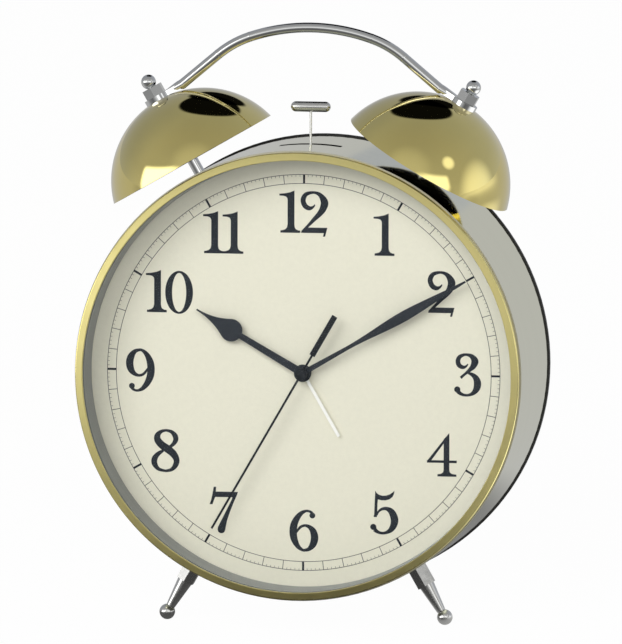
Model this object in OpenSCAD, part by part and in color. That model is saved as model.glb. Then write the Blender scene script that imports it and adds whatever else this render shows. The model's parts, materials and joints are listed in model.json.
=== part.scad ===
// Twin-bell alarm clock with a quartz movement and an electric bell hammer, in millimetres.
// Every piece is drawn on the case axis: X to the viewer's right, Y back from the bezel's front, Z up.
// The whole clock then leans back until it stands on its two ball feet and its cover's rim.

/* [Case] */
// Outer diameter of the bezel
bezel_d = 200; // [192:1:220]
// Width of the bezel's front face
bezel_face = 3.5; // [3:0.5:6]
// Length of the bezel's side wall
bezel_len = 5; // [4:0.5:10]
// Thickness of the bezel's lip in front of the lens
bezel_lip = 1.5; // [1.3:0.1:2]
// How far the band stands proud of the bezel
band_proud = 1; // [0.3:0.1:1.5]
// Sheet thickness of the band
band_wall = 1.3; // [0.6:0.1:1.6]
// Depth from the bezel's front to the band's rear edge
band_depth = 82; // [74:1:90]

/* [Dial] */
// Thickness of the lens
lens_t = 2; // [1.5:0.1:3]
// Depth from the bezel's front to the dial's face
dial_y = 20.5; // [16:0.5:22]
// Thickness of the dial
dial_t = 0.8; // [0.5:0.1:1.5]
// How much the inner ring narrows towards the dial
ring_taper = 1.5; // [0.5:0.1:2]
// Wall of the inner ring
ring_wall = 1.4; // [1:0.1:1.8]

/* [Hands] */
// Thickness of each hand
hand_t = 0.6; // [0.4:0.1:0.8]
// Step from one hand to the next along the axis
hand_step = 1.6; // [1.4:0.1:2]
// Length of the hour hand
hour_len = 55.5; // [50:0.5:62]
// Radius of the hour hand's round spade
hour_spade_r = 5.05; // [4:0.05:6]
// Distance of the spade's centre from the axis
hour_spade_at = 37.4; // [34:0.1:40]
// Length of the minute hand
minute_len = 83.6; // [76:0.1:86]
// Widest part of the minute hand
minute_belly_w = 4.7; // [3.5:0.1:6]
// Length of the second hand
second_len = 81; // [74:0.5:86]
// Length of the second hand's tail
second_tail = 30.2; // [26:0.1:34]
// Length of the alarm hand
alarm_len = 32.6; // [28:0.1:40]
// Width of the alarm hand
alarm_hand_w = 1.35; // [1:0.05:2]

/* [Bells] */
// Diameter of a bell's rim
bell_d = 80.5; // [76:0.5:86]
// Height of a bell from its rim to its crown
bell_h = 30.5; // [28:0.5:34]
// Sheet thickness of a bell
bell_wall = 1.2; // [0.8:0.1:1.8]
// Tilt of each bell from upright
bell_angle = 30; // [29:0.5:32]
// Gap from the band to the rim plane, along the post
bell_gap = 6.3; // [5:0.1:8]
// Depth of the bells, handle and hammer behind the bezel's front
bell_y = 38.2; // [36:0.2:44]
// Diameter of a bell post
post_d = 5; // [4.6:0.1:7]
// Diameter of the screwed ends of posts and feet
stud_d = 4; // [3:0.1:4.2]
// Height of a finial's hexagon
finial_hex_h = 4.4; // [3.5:0.1:6]
// Diameter of a finial's ball
finial_ball_d = 6.7; // [6:0.1:9]
// Width across the flats of the finials
hex_af = 8.6; // [6.5:0.1:9]

/* [Handle] */
// Diameter of the handle's rod
handle_d = 4.5; // [3.5:0.1:5]
// Radius of the handle's crown
handle_r = 85; // [76:1:88]
// Radius of the tighter bends between the crown and the legs
bend_r = 45; // [35:1:60]
// Slope of the handle where each bend begins
bend_from = 19; // [15:0.5:25]
// Slope of the handle's straight legs
handle_slope = 40; // [38:0.5:42]
// Thickness of the flattened eyelets
eyelet_t = 2.3; // [1:0.1:3]
// Diameter of the eyelets
eyelet_d = 12; // [9:0.1:14]

/* [Feet] */
// Angle of each foot from straight down
foot_angle = 29.9; // [27:0.1:33]
// Depth of the feet behind the bezel's front
foot_y = 28.5; // [24:0.5:32]
// Length of a foot's hexagon outside the band
foot_hex_len = 8.9; // [7:0.1:13]
// Width across the flats of a foot's hexagon
foot_hex_af = 7.8; // [6.8:0.1:9]
// Length of a foot's cone
foot_cone_len = 13.2; // [10:0.1:15]
// Diameter of the cone's wide end
foot_cone_d = 6.9; // [6.4:0.1:8]
// Diameter of the cone's narrow end
foot_neck_d = 4; // [3:0.1:5]
// Diameter of the ball that the foot stands on
foot_ball_d = 7; // [6:0.1:9]

/* [Hammer] */
// Length of the hammer's head
head_len = 18; // [16:0.5:20]
// Diameter of the hammer's head
head_d = 4.7; // [4:0.1:5.5]
// Height of the head's axis above the bells' inner rims
head_lift = 4.7; // [3.5:0.1:5.5]
// Diameter of the hammer's rod
rod_d = 1.1; // [0.9:0.1:2]
// Length of the slot in the band
slot_len = 28; // [24:0.5:34]
// Width of the slot in the band
slot_w = 6; // [3:0.1:8]
// Diameter of the hammer's pivot pin
pivot_d = 2; // [1.6:0.1:2.6]

/* [Movement] */
// Thickness of the toothed wheels
wheel_t = 1.2; // [1:0.1:1.5]
// Air between neighbouring wheels
wheel_gap = 0.6; // [0.5:0.1:0.9]
// Thinning of each tooth for backlash
backlash = 0.08; // [0.06:0.01:0.12]
// Diameter of the setting arbors
arbor_d = 2; // [1.6:0.1:2.4]
// Diameter of the setting knobs
knob_d = 15; // [12:0.5:18]
// Thickness of the setting knobs
knob_t = 8; // [6:0.5:10]

/* [Back] */
// How far the cover's rim stands proud of the band
rim_proud = 0.6; // [0.3:0.1:3]
// Thickness of the cover's rim
rim_t = 3.2; // [3:0.1:5]
// Wall of the back cover
cover_wall = 2.5; // [2.2:0.1:3]
// Width of the flat border round the cover's raised middle
rim_border = 17.6; // [15:0.1:20]
// Height of the raised middle above the rim
raised_h = 7.5; // [6:0.5:10]
// Depth of the flat on the rim that the clock leans on
rim_flat = 0.4; // [0.3:0.1:1]
// Diameter of a battery cell
cell_d = 14.2; // [13.8:0.1:14.5]
// Length of a battery cell's can
cell_len = 49; // [48:0.1:50]
// Travel of the alarm switch
switch_travel = 6; // [4:0.5:7]

/* [Fits] */
// Radial clearance of turning shafts
run_gap = 0.06; // [0.04:0.01:0.08]
// Clearance of pieces that are pushed together
fit_gap = 0.05; // [0.03:0.01:0.1]
// Clearance round pieces that move past others
free_gap = 0.35; // [0.3:0.05:0.5]

/* [Hidden] */
$fn = 64;

// How far a cut runs past the material it opens
past = 1;

// Colours
gold = "#d8c98a";
chrome = "#c9cbcc";
steel = "#b4b5ae";
black = "#1d1d1f";
slate = "#3a3f45";
ivory = "#e2e0cd";
brass = "#c2a35a";
white = "#f4f4f0";
grey = "#767873";
copper = "#b4673a";

// Radii and depths of the case
bezel_r = bezel_d / 2;
bezel_in = bezel_r - bezel_face;
bezel_round = 0.62 * bezel_face;
bezel_inner_round = min(0.34 * bezel_face, bezel_lip - 0.1);
band_r = bezel_r + band_proud;
band_in = band_r - band_wall;
rim_r = band_r + rim_proud;
raised_r = rim_r - rim_border;
spigot_len = 4;
spigot_wall = 0.9;
spigot_out = min(band_in - fit_gap * 2, bezel_r);
spigot_in = spigot_out - spigot_wall;
lens_r = spigot_in - fit_gap * 4;
lens_back = bezel_lip + lens_t;
ring_out = lens_r;
ring_front_r = bezel_in - 0.2;
ring_dial_r = ring_front_r - ring_taper;
ring_flange = 1.5;
dial_back = dial_y + dial_t;
chassis_t = 3;
chassis_back = dial_back + chassis_t;
chassis_r = band_in - 0.3;
chassis_ring_r = band_in - 17.6;
chassis_hub_r = 46;
chassis_rib_w = 18;
chassis_top_rib_w = 54;
screw_r = 1.4;
screw_hole_r = screw_r + 3 * fit_gap;
screw_head_r = 2.8;
screw_head_h = 1.6;
screw_inset = 0.9;
pillar_r = 4;
pillar_at = raised_r + screw_head_r + screw_inset;
pillar_angles = [45, 135, 225, 315];
function polar(r, a) = r * [cos(a), sin(a)];
pillars = [for (a = pillar_angles) polar(pillar_at, a)];
cover_screw_len = 12;
bracket_screw_len = 6;

// Bells, posts and finials, as distances along a post from the case axis
bell_r = bell_d / 2;
bell_flat_r = 6;
bell_cut = 0.01;
bell_rim_at = band_r + bell_gap;
bell_crown_at = bell_rim_at + bell_h;
bell_sphere_at = (pow(bell_flat_r, 2) + pow(bell_h, 2) - pow(bell_r, 2)) / (2 * bell_h);
bell_sphere_r = sqrt(pow(bell_r, 2) + pow(bell_sphere_at, 2));
finial_at = bell_crown_at + eyelet_t;
finial_seat = 0.82;
finial_ball_at = finial_at + finial_hex_h + finial_seat * finial_ball_d / 2;
finial_floor = 0.6;
stud_in_finial = finial_hex_h - finial_floor;
nut_t = 3;
nut_air = 0.02;
stud_beyond_nut = 1.5;
nut_af = 1.75 * stud_d;
nut_r = nut_af / 2 / cos(30);
nut_top = sqrt(pow(band_in, 2) - pow(nut_r, 2)) - nut_air;
stud_tail = nut_top - nut_t - stud_beyond_nut;
stud_r = stud_d / 2;
stud_hole_r = stud_r + fit_gap;
hex_r = hex_af / 2 / cos(30);

// Handle, in the plane of the bells: a crown, two tighter bends, straight legs and flat eyelets
eyelet_run = 13;
eyelet_sink = 1.05;
eyelet_flat = hex_af / 2 + 0.6;
eyelet_w = eyelet_d / 1.4;
handle_end_at = bell_crown_at + handle_d / 2 - eyelet_sink;
eyelet_step = 0.2;
joint_gap = 0.1;
eyelet_slant = atan((handle_end_at + handle_d / 2 - finial_at) / (eyelet_run - eyelet_flat));
handle_e = handle_end_at * [sin(bell_angle), cos(bell_angle)]
    - eyelet_run * [cos(bell_angle), -sin(bell_angle)];
bend_shift = (handle_r - bend_r) * [sin(bend_from), cos(bend_from)];
handle_straight = (handle_e[0] - bend_shift[0] - bend_r * sin(handle_slope)) / cos(handle_slope);
handle_p = handle_e + handle_straight * [-cos(handle_slope), sin(handle_slope)];
bend_c = handle_p - bend_r * [sin(handle_slope), cos(handle_slope)];
bend_p = bend_c + bend_r * [sin(bend_from), cos(bend_from)];
crown_c = bend_c - bend_shift;

// Feet
foot_cone_at = band_r + foot_hex_len;
foot_seat = 0.91;
foot_ball_at = foot_cone_at + foot_cone_len + foot_seat * foot_ball_d / 2;
foot_hex_r = foot_hex_af / 2 / cos(30);

// Back cover, switch and battery
rim_back = band_depth + rim_t;
rim_inside = rim_back - cover_wall;
cover_back = rim_back + raised_h;
cover_inside = cover_back - cover_wall;
cover_spigot_r = band_in - 0.15;
cover_spigot_len = 6;
cover_spigot_wall = 2;
bay_z = -50;
rim_round = 1;
raised_round = 1.5;
bay_wall = 1.5;
cell_gap = 0.7;
contact_len = 1.9;
bay_w = cell_len + 2 * contact_len + 1.4;
bay_h = 2 * cell_d + 3 * cell_gap;
bay_depth = cell_d + 2.6;
cell_y = cover_inside - bay_depth + cell_d / 2 + cell_gap;
door_w = bay_w - 2 * free_gap;
hinge_r = cover_wall / 2;
hinge_pin_r = 0.7;
hinge_pin_len = 2;
hinge_y = cover_back - hinge_r;
hinge_z = bay_z - bay_h / 2 + hinge_r + free_gap;
door_top = bay_z + bay_h / 2 - free_gap;
knob_front = cover_back + 0.6;
knob_face = 2;
switch_z = 44;
switch_stem = [8, 4];
switch_size = [26, 10, 8];
switch_slot = [switch_stem[0] + switch_travel + 2 * free_gap, switch_stem[1] + 2 * free_gap];
switch_depth = 4;

// Movement: arbor places, as seen from the front, and layers along the axis
z_pinion = 8;
z_third = 60;
z_centre = 64;
z_second = 60;
z_cannon = 10;
z_motion = 30;
z_hour = 32;
z_set = 12;
z_alarm = 60;
centre_module = 0.4;
third_at = (z_pinion + z_centre) / 2 * centre_module;
third_module = 2 * third_at / (z_pinion + z_third);
motion_module = 0.5;
motion_at = (z_cannon + z_motion) / 2 * motion_module;
set_step = (z_motion + z_set) / 2 * motion_module;
motor_at = (z_pinion + z_second) / 2 * centre_module;
alarm_at = (z_alarm + z_set) / 2 * motion_module;
third_dir = 90;
motor_dir = 25;
motion_dir = 200;
alarm_dir = 320;
third_p = polar(third_at, third_dir);
motor_p = polar(motor_at, motor_dir);
motion_p = polar(motion_at, motion_dir);
time_p = polar(motion_at + set_step, motion_dir);
alarm_p = polar(alarm_at, alarm_dir);
plate_t = 2;
bridge_t = 1;
layer = wheel_t + wheel_gap;
y_front = chassis_back + plate_t;
y_alarm = y_front + wheel_gap;
y_bridge = y_alarm + layer;
y_hour = y_bridge + bridge_t + wheel_gap;
y_motion = y_hour + layer;
y_centre = y_motion + layer;
y_third = y_centre + layer;
y_second = y_third + layer;
y_motor = y_second + layer;
motor_len = 4;
motor_r = 7;
rear_bush_r = 2;
y_rear = y_motor + motor_len + wheel_gap;
y_end = y_rear + plate_t;
house_c = [-2, 5];
house = [56, 50];
house_wall = 1.6;
house_round = 4;
house_post_r = 2.4;
house_screw_r = 1;
house_screw_head_r = 1.9;
post_inset = 4.4;
second_r = 0.45;
minute_r = 1.1;
hour_r = 1.8;
alarm_r = 2.6;
bush_r = 3.5;
bush_proud = 0.4;
stud_pin_r = 0.6;
pin_proud = 0.2;
tube_proud = 0.3;
pin_seat = 1.2;
arbor_r = arbor_d / 2;
board_t = 1;
board_y = y_third;
board = [11, 20];
board_c = [house_c[0] - house[0] / 2 + house_wall + board[0] / 2 + 0.4, 12];
board_posts = [board_c + [0, 7], board_c - [0, 7]];
board_post_r = 1.2;

// Depth of each hand's rear face
y_alarm_hand = dial_y - 1;
y_hour_hand = y_alarm_hand - hand_step;
y_minute_hand = y_hour_hand - hand_step;
y_second_hand = y_minute_hand - hand_step;

// Where the hands point, clockwise from twelve
hour_turn = 300;
minute_turn = 60;
second_turn = 210;
alarm_turn = 150;

// Hammer and its striker, in the plane of the bells
bell_tip = [bell_rim_at * sin(bell_angle) - bell_r * cos(bell_angle),
    bell_rim_at * cos(bell_angle) + bell_r * sin(bell_angle)];
head_z = bell_tip[1] + head_lift;
bracket_t = 1.2;
bracket_gap = 8.8;
bracket_front = bell_y - bracket_gap / 2 - bracket_t;
bracket_back = bell_y + bracket_gap / 2;
bracket_z = house_c[1] + house[1] / 2 + 1.5;
bracket_w = 30;
core_z = bracket_z + bracket_t;
core_t = 6;
core_base = 3.3;
core_leg = 3;
core_in = 9.5;
coil_len = 8;
pole_r = 2.5;
pole_proud = 2.2;
pole_top = core_z + core_base + coil_len + pole_proud;
bobbin_r = pole_r + 0.7;
flange_t = 0.8;
flange_r = bracket_gap / 2 - 0.1;
winding_r = flange_r - 0.5;
armature_h = 5;
armature_w = 10;
armature_air = 1.5;
armature_z = pole_top + armature_air;
lever_tail_z = armature_z + armature_h;
core_leg_proud = 1;
core_leg_top = lever_tail_z + core_leg_proud;
lever_arm = 13;
pivot_z = lever_tail_z + lever_arm;
lever_t = 4;
lever_w = 6;
lever_hub_r = 4;
lever_boss_r = 2.2;
lever_boss_len = 8;
lever_boss_top = pivot_z + lever_boss_len;
lever_air = 0.4;
rod_seat = 5;
pivot_r = pivot_d / 2;
bracket_over = 5;
bracket_top = pivot_z + bracket_over;
bracket_ear_r = 4;
bracket_ear_out = 5;
bracket_ear_drop = 6;
bracket_ears = [for (side = [-1, 1])
    [side * (bracket_w / 2 + bracket_ear_out), pivot_z - bracket_ear_drop]];

// The clock leans back onto the flat of its cover's rim, with the floor touching both ball feet
foot_drop = foot_ball_at * cos(foot_angle) - (rim_r - rim_flat);
foot_ahead = rim_back - rim_round - foot_y;
lean = atan(foot_drop / foot_ahead) + asin(foot_ball_d / 2 / norm([foot_drop, foot_ahead]));
floor_level = -foot_ball_at * cos(foot_angle) * cos(lean) - foot_y * sin(lean) - foot_ball_d / 2;

// Places the whole clock, with the floor at zero and the middle of its depth at the origin
rear_reach = max(
    cover_back * cos(lean) + (raised_r - raised_round) * sin(lean),
    bell_y * cos(lean) + (bell_rim_at + bell_sphere_at) * cos(bell_angle) * sin(lean) + bell_sphere_r);
front_reach = bezel_round * (cos(lean) - 1) - (bezel_r - bezel_round) * sin(lean);
y_middle = (rear_reach + front_reach) / 2;
module stand() { translate([0, -y_middle, -floor_level]) rotate([-lean, 0, 0]) children(); }

// A flat outline seen from the front, filling the depths from y to y + t
module slab(y, t) { translate([0, y + t, 0]) rotate([90, 0, 0]) linear_extrude(t) children(); }

// A profile of radius and depth turned round the case axis
module turned() { rotate([-90, 0, 0]) rotate_extrude() children(); }

// A round bar along the depth, at a place seen from the front
module bar(p, r, y0, y1) {
    translate([p[0], y0, p[1]]) rotate([-90, 0, 0]) cylinder(r = r, h = y1 - y0);
}

// A box by its middle across the clock and its depths from y0 to y1
module block(p, size, y0, y1) {
    translate([p[0] - size[0] / 2, y0, p[1] - size[1] / 2]) cube([size[0], y1 - y0, size[1]]);
}

// Places a piece with its Z axis along a bell's post or a foot
module at_bell(side) { translate([0, bell_y, 0]) rotate([0, side * bell_angle, 0]) children(); }
module at_foot(side) { translate([0, foot_y, 0]) rotate([0, side * (180 - foot_angle), 0]) children(); }

function arc(c, r, a0, a1, n) =
    [for (i = [0:n]) let (a = a0 + (a1 - a0) * i / n) c + r * [cos(a), sin(a)]];
function ease(a, b, t) = a + (b - a) * (1 - cos(180 * t)) / 2;

// A closed outline, symmetric about the Y axis, from half widths and heights
module mirrored_outline(points) {
    polygon(concat(points, [for (i = [len(points) - 1:-1:0]) [-points[i][0], points[i][1]]]));
}

// Toothed wheels. Each tooth has involute flanks, thinned for backlash.
pressure = 25;
wheel_add = 0.7;
pinion_add = 1;
root_gap = 0.32;
function involute(a) = tan(a) * 180 / PI - a;
function is_pinion(z) = z < 20;
function tip_r(z, m) = z * m / 2 + m * (is_pinion(z) ? pinion_add : wheel_add);
function root_r(z, m) = z * m / 2 - m * ((is_pinion(z) ? wheel_add : pinion_add) + root_gap);
function base_r(z, m) = z * m / 2 * cos(pressure);
function half_tooth(z, m, r) =
    90 / z - backlash / (z * m) * 180 / PI + involute(pressure)
    - involute(acos(min(1, base_r(z, m) / r)));
function flank(z, m) =
    let (n = is_pinion(z) ? 4 : 2, start = max(root_r(z, m), base_r(z, m)), tip = tip_r(z, m),
        curve = [for (i = [0:n]) start + (tip - start) * i / n])
    start > root_r(z, m) ? concat([root_r(z, m)], curve) : curve;
module teeth_2d(z, m, phase) {
    radii = flank(z, m);
    last = len(radii) - 1;
    polygon([for (k = [0:z - 1], i = [0:2 * last + 1])
        let (r = i <= last ? radii[i] : radii[2 * last + 1 - i], side = i <= last ? -1 : 1)
        polar(r, phase + 360 * k / z + side * half_tooth(z, m, r))]);
}

// Turn of a wheel that meshes, in direction a, with a wheel of z1 teeth turned by phase
function meshed(a, z1, phase, z2) = a + 180 - 180 / z2 + (a - phase) * z1 / z2;
third_phase = meshed(third_dir, z_pinion, 0, z_third);
centre_phase = meshed(third_dir + 180, z_pinion, 0, z_centre);
motor_phase = meshed(motor_dir, z_second, 0, z_pinion);
motion_phase = meshed(motion_dir, z_cannon, 0, z_motion);
hour_phase = meshed(motion_dir + 180, z_pinion, 0, z_hour);
set_phase = meshed(motion_dir, z_motion, motion_phase, z_set);
alarm_phase = meshed(alarm_dir, z_alarm, 0, z_set);

module toothed(p, z, m, phase, y0, y1) {
    slab(y0, y1 - y0) translate(p) teeth_2d(z, m, phase);
}

// Front of the case

module bezel() {
    color(gold) stand() turned() polygon(concat(
        [[bezel_in, bezel_lip]],
        arc([bezel_in + bezel_inner_round, bezel_inner_round], bezel_inner_round, 180, 270, 4),
        arc([bezel_r - bezel_round, bezel_round], bezel_round, 270, 360, 6),
        [[bezel_r, bezel_len], [spigot_out, bezel_len], [spigot_out, bezel_len + spigot_len],
            [spigot_in, bezel_len + spigot_len], [spigot_in, bezel_lip]]));
}

module lens() {
    color("lightcyan", 0.3) stand() bar([0, 0], lens_r, bezel_lip, lens_back);
}

module inner_ring() {
    color(grey) stand() turned() polygon([
        [ring_front_r, lens_back], [ring_out, lens_back], [ring_out, lens_back + ring_flange],
        [ring_front_r + ring_wall, lens_back + ring_flange],
        [ring_dial_r + ring_wall, dial_y - ring_flange],
        [ring_out, dial_y - ring_flange], [ring_out, dial_y], [ring_dial_r, dial_y]]);
}

module dial() {
    color(ivory) stand() difference() {
        bar([0, 0], ring_out, dial_y, dial_back);
        bar([0, 0], bush_r + fit_gap, dial_y - past, dial_back + past);
    }
}

module case_band() {
    color(steel) stand() difference() {
        bar([0, 0], band_r, bezel_len, band_depth);
        bar([0, 0], band_in, bezel_len - past, band_depth + past);
        translate([-slot_len / 2, bell_y - slot_w / 2, band_r / 2]) cube([slot_len, slot_w, band_r]);
        for (side = [-1, 1]) {
            at_bell(side) translate([0, 0, band_r / 2]) cylinder(r = stud_hole_r, h = band_r);
            at_foot(side) translate([0, 0, band_r / 2]) cylinder(r = stud_hole_r, h = band_r);
        }
    }
}

module chassis_plan() {
    difference() {
        circle(chassis_r);
        difference() {
            circle(chassis_ring_r);
            circle(chassis_hub_r);
            for (a = pillar_angles) rotate(a) translate([0, -chassis_rib_w / 2])
                square([chassis_r, chassis_rib_w]);
            translate([-chassis_top_rib_w / 2, 0]) square([chassis_top_rib_w, chassis_r]);
        }
        circle(bush_r + fit_gap);
        for (p = house_posts()) translate(p) circle(house_screw_r + fit_gap);
    }
}

module chassis() {
    color(black) stand() difference() {
        union() {
            slab(dial_back, chassis_t) chassis_plan();
            for (p = pillars) bar(p, pillar_r, chassis_back, rim_inside);
            for (p = bracket_ears) bar(p, pillar_r, chassis_back, bracket_front);
        }
        for (p = pillars) bar(p, screw_r + fit_gap, rim_inside - cover_screw_len - past, rim_inside + past);
        for (p = bracket_ears)
            bar(p, screw_r + fit_gap, bracket_front - bracket_screw_len - past, bracket_front + past);
    }
}

// Bells, handle and feet

module bell_cap(r, h) {
    intersection() {
        translate([0, 0, bell_sphere_at]) sphere(r = r);
        translate([-2 * bell_r, -2 * bell_r, 0]) cube([4 * bell_r, 4 * bell_r, h]);
    }
}

module bell(side) {
    color(gold) stand() at_bell(side) translate([0, 0, bell_rim_at]) difference() {
        bell_cap(bell_sphere_r, bell_h);
        translate([0, 0, -bell_cut]) bell_cap(bell_sphere_r - bell_wall, bell_h - bell_wall + bell_cut);
        cylinder(r = stud_hole_r, h = bell_h + past);
    }
}
module bell_left() { bell(-1); }
module bell_right() { bell(1); }

module bell_post(side) {
    color(chrome) stand() at_bell(side) {
        translate([0, 0, stud_tail]) cylinder(r = stud_r, h = finial_at + stud_in_finial - stud_tail);
        translate([0, 0, band_r]) cylinder(d = post_d, h = bell_crown_at - bell_wall - band_r);
    }
}
module bell_post_left() { bell_post(-1); }
module bell_post_right() { bell_post(1); }

module finial(side) {
    color(chrome) stand() at_bell(side) difference() {
        union() {
            translate([0, 0, finial_at]) rotate(30) cylinder(r = hex_r, h = finial_hex_h, $fn = 6);
            translate([0, 0, finial_ball_at]) sphere(d = finial_ball_d);
        }
        translate([0, 0, finial_at - past]) cylinder(r = stud_hole_r, h = past + stud_in_finial + fit_gap);
    }
}
module finial_left() { finial(-1); }
module finial_right() { finial(1); }

// The rod's lengths end just short of each other inside a ball that joins them
module rod_joint(p) { translate([p[0], 0, p[1]]) sphere(d = handle_d * 1.02); }

// A bent length of the rod round c, between two slopes
module rod_bend(c, r, a0, a1) {
    trim = joint_gap / r * 180 / PI;
    translate([c[0], 0, c[1]]) rotate([90, 0, 0]) rotate([0, 0, 90 - a1 + trim])
        rotate_extrude(angle = a1 - a0 - 2 * trim) translate([r, 0]) circle(d = handle_d);
}

module handle_end() {
    rod_joint(bend_p);
    rod_joint(handle_p);
    rod_joint(handle_e);
    rod_bend(bend_c, bend_r, bend_from, handle_slope);
    translate([handle_p[0], 0, handle_p[1]]) rotate([0, 90 + handle_slope, 0])
        translate([0, 0, joint_gap]) cylinder(d = handle_d, h = handle_straight - 2 * joint_gap);
    rotate([0, bell_angle, 0]) difference() {
        union() {
            difference() {
                translate([-eyelet_run + joint_gap, 0, handle_end_at]) rotate([0, 90, 0])
                    cylinder(d = handle_d, h = eyelet_run - eyelet_flat - joint_gap);
                translate([-2 * eyelet_run, -eyelet_d, bell_crown_at - 2 * eyelet_d])
                    cube([4 * eyelet_run, 2 * eyelet_d, 2 * eyelet_d]);
            }
            translate([0, 0, bell_crown_at]) linear_extrude(eyelet_t) rotate(90)
                mirrored_outline([[handle_d / 3, eyelet_run - past], [eyelet_w / 2, 0]]);
            translate([0, 0, bell_crown_at]) cylinder(d = eyelet_d, h = eyelet_t);
        }
        translate([-eyelet_flat, 0, finial_at + eyelet_step]) rotate([0, eyelet_slant, 0])
            translate([-2 * eyelet_run, -eyelet_d, 0]) cube([2 * eyelet_run, 2 * eyelet_d, eyelet_d]);
        translate([0, 0, bell_crown_at - past]) cylinder(r = stud_hole_r, h = eyelet_t + 2 * past);
    }
}

module handle() {
    color(chrome) stand() translate([0, bell_y, 0]) {
        rod_bend(crown_c, handle_r, -bend_from, bend_from);
        handle_end();
        mirror([1, 0, 0]) handle_end();
    }
}

module foot(side) {
    color(chrome) stand() at_foot(side) {
        translate([0, 0, stud_tail]) cylinder(r = stud_r, h = foot_cone_at + past - stud_tail);
        translate([0, 0, band_r]) rotate(30) cylinder(r = foot_hex_r, h = foot_hex_len, $fn = 6);
        translate([0, 0, foot_cone_at]) cylinder(d1 = foot_cone_d, d2 = foot_neck_d, h = foot_cone_len);
        translate([0, 0, foot_ball_at]) sphere(d = foot_ball_d);
    }
}
module foot_left() { foot(-1); }
module foot_right() { foot(1); }

module stud_nut() {
    translate([0, 0, nut_top - nut_t]) difference() {
        cylinder(r = nut_r, h = nut_t, $fn = 6);
        translate([0, 0, -past]) cylinder(r = stud_hole_r, h = nut_t + 2 * past);
    }
}

module inner_nuts() {
    color(chrome) stand() for (side = [-1, 1]) {
        at_bell(side) stud_nut();
        at_foot(side) stud_nut();
    }
}

// Back cover and what it carries

module cover_profile() {
    polygon([
        [0, cover_inside], [raised_r - cover_wall, cover_inside], [raised_r - cover_wall, rim_inside],
        [cover_spigot_r - cover_spigot_wall, rim_inside],
        [cover_spigot_r - cover_spigot_wall, band_depth - cover_spigot_len],
        [cover_spigot_r, band_depth - cover_spigot_len], [cover_spigot_r, band_depth],
        [rim_r, band_depth], [rim_r, rim_back - rim_round], [rim_r - rim_round, rim_back],
        [raised_r, rim_back], [raised_r, cover_back - raised_round],
        [raised_r - raised_round, cover_back], [0, cover_back]]);
}

module bay_opening(y0, y1) { block([0, bay_z], [bay_w, bay_h], y0, y1); }

module cover_body() {
    difference() {
        turned() cover_profile();
        for (p = [time_p, alarm_p]) bar(p, arbor_r + free_gap, cover_inside - past, cover_back + past);
        bay_opening(cover_inside - past, cover_back + past);
        translate([-door_w / 2 - hinge_pin_len, hinge_y, hinge_z]) rotate([0, 90, 0])
            cylinder(r = hinge_pin_r + run_gap, h = door_w + 2 * hinge_pin_len);
        block([0, switch_z], switch_slot, cover_inside - past, cover_back + past);
        for (p = pillars) bar(p, screw_hole_r, rim_inside - past, rim_back + past);
    }
}

// The cover, with the flat on its rim cut by the floor
module back_cover() {
    color(black) difference() {
        stand() cover_body();
        translate([-rim_r, -rim_r, -rim_r]) cube([2 * rim_r, 2 * rim_r, rim_r]);
    }
}

module cover_screws() {
    color(chrome) stand() for (p = pillars) {
        bar(p, screw_r, rim_inside - cover_screw_len, rim_back + screw_head_h);
        bar(p, screw_head_r, rim_back, rim_back + screw_head_h);
    }
}

module battery_tray() {
    floor_y = cover_inside - bay_depth;
    color(black) stand() difference() {
        block([0, bay_z], [bay_w + 2 * bay_wall, bay_h + 2 * bay_wall], floor_y - bay_wall, cover_inside);
        bay_opening(floor_y, cover_inside + past);
    }
}

function cell_z(i) = bay_z + (i == 0 ? 1 : -1) * (cell_d + cell_gap) / 2;

module battery_contacts() {
    plate = [0.4, 0.7 * cell_d, 0.7 * cell_d];
    tongue_w = 4;
    tongue_t = 0.6;
    foot_z = 4;
    foot_in = foot_z - 0.8;
    sheet = plate[0] / 2;
    reach = contact_len + 0.5;
    color(chrome) stand() for (i = [0, 1], side = [-1, 1])
        translate([side * bay_w / 2, cell_y, cell_z(i)]) mirror([side > 0 ? 1 : 0, 0, 0]) {
            translate([0, -plate[1] / 2, -plate[2] / 2]) cube(plate);
            translate([0, -tongue_w / 2, 0]) rotate([-90, 0, 0]) linear_extrude(tongue_w) polygon([
                [sheet, -foot_z], [reach, 0], [sheet, foot_z],
                [sheet, foot_in], [reach - tongue_t, 0], [sheet, -foot_in]]);
        }
}

module cells() {
    color(brass) stand() for (i = [0, 1]) translate([0, cell_y, cell_z(i)])
        rotate([0, 90, 0]) cylinder(d = cell_d, h = cell_len, center = true);
}

module battery_door() {
    grip_len = 14;
    grip_w = 0.9;
    grip_h = 0.6;
    grip_step = 2.4;
    color(black) stand() {
        block([0, (hinge_z + door_top) / 2], [door_w, door_top - hinge_z], cover_inside, cover_back);
        translate([-door_w / 2, hinge_y, hinge_z]) rotate([0, 90, 0]) cylinder(r = hinge_r, h = door_w);
        translate([-door_w / 2 - hinge_pin_len + free_gap, hinge_y, hinge_z]) rotate([0, 90, 0])
            cylinder(r = hinge_pin_r, h = door_w + 2 * hinge_pin_len - 2 * free_gap);
        for (k = [1:3]) block([0, door_top - grip_step * k], [grip_len, grip_w],
            cover_back - past, cover_back + grip_h);
    }
}

module switch_body() {
    color(grey) stand() difference() {
        block([0, switch_z], [switch_size[0], switch_size[1]], cover_inside - switch_size[2], cover_inside);
        block([0, switch_z], switch_slot, cover_inside - switch_depth, cover_inside + past);
    }
}

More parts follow.
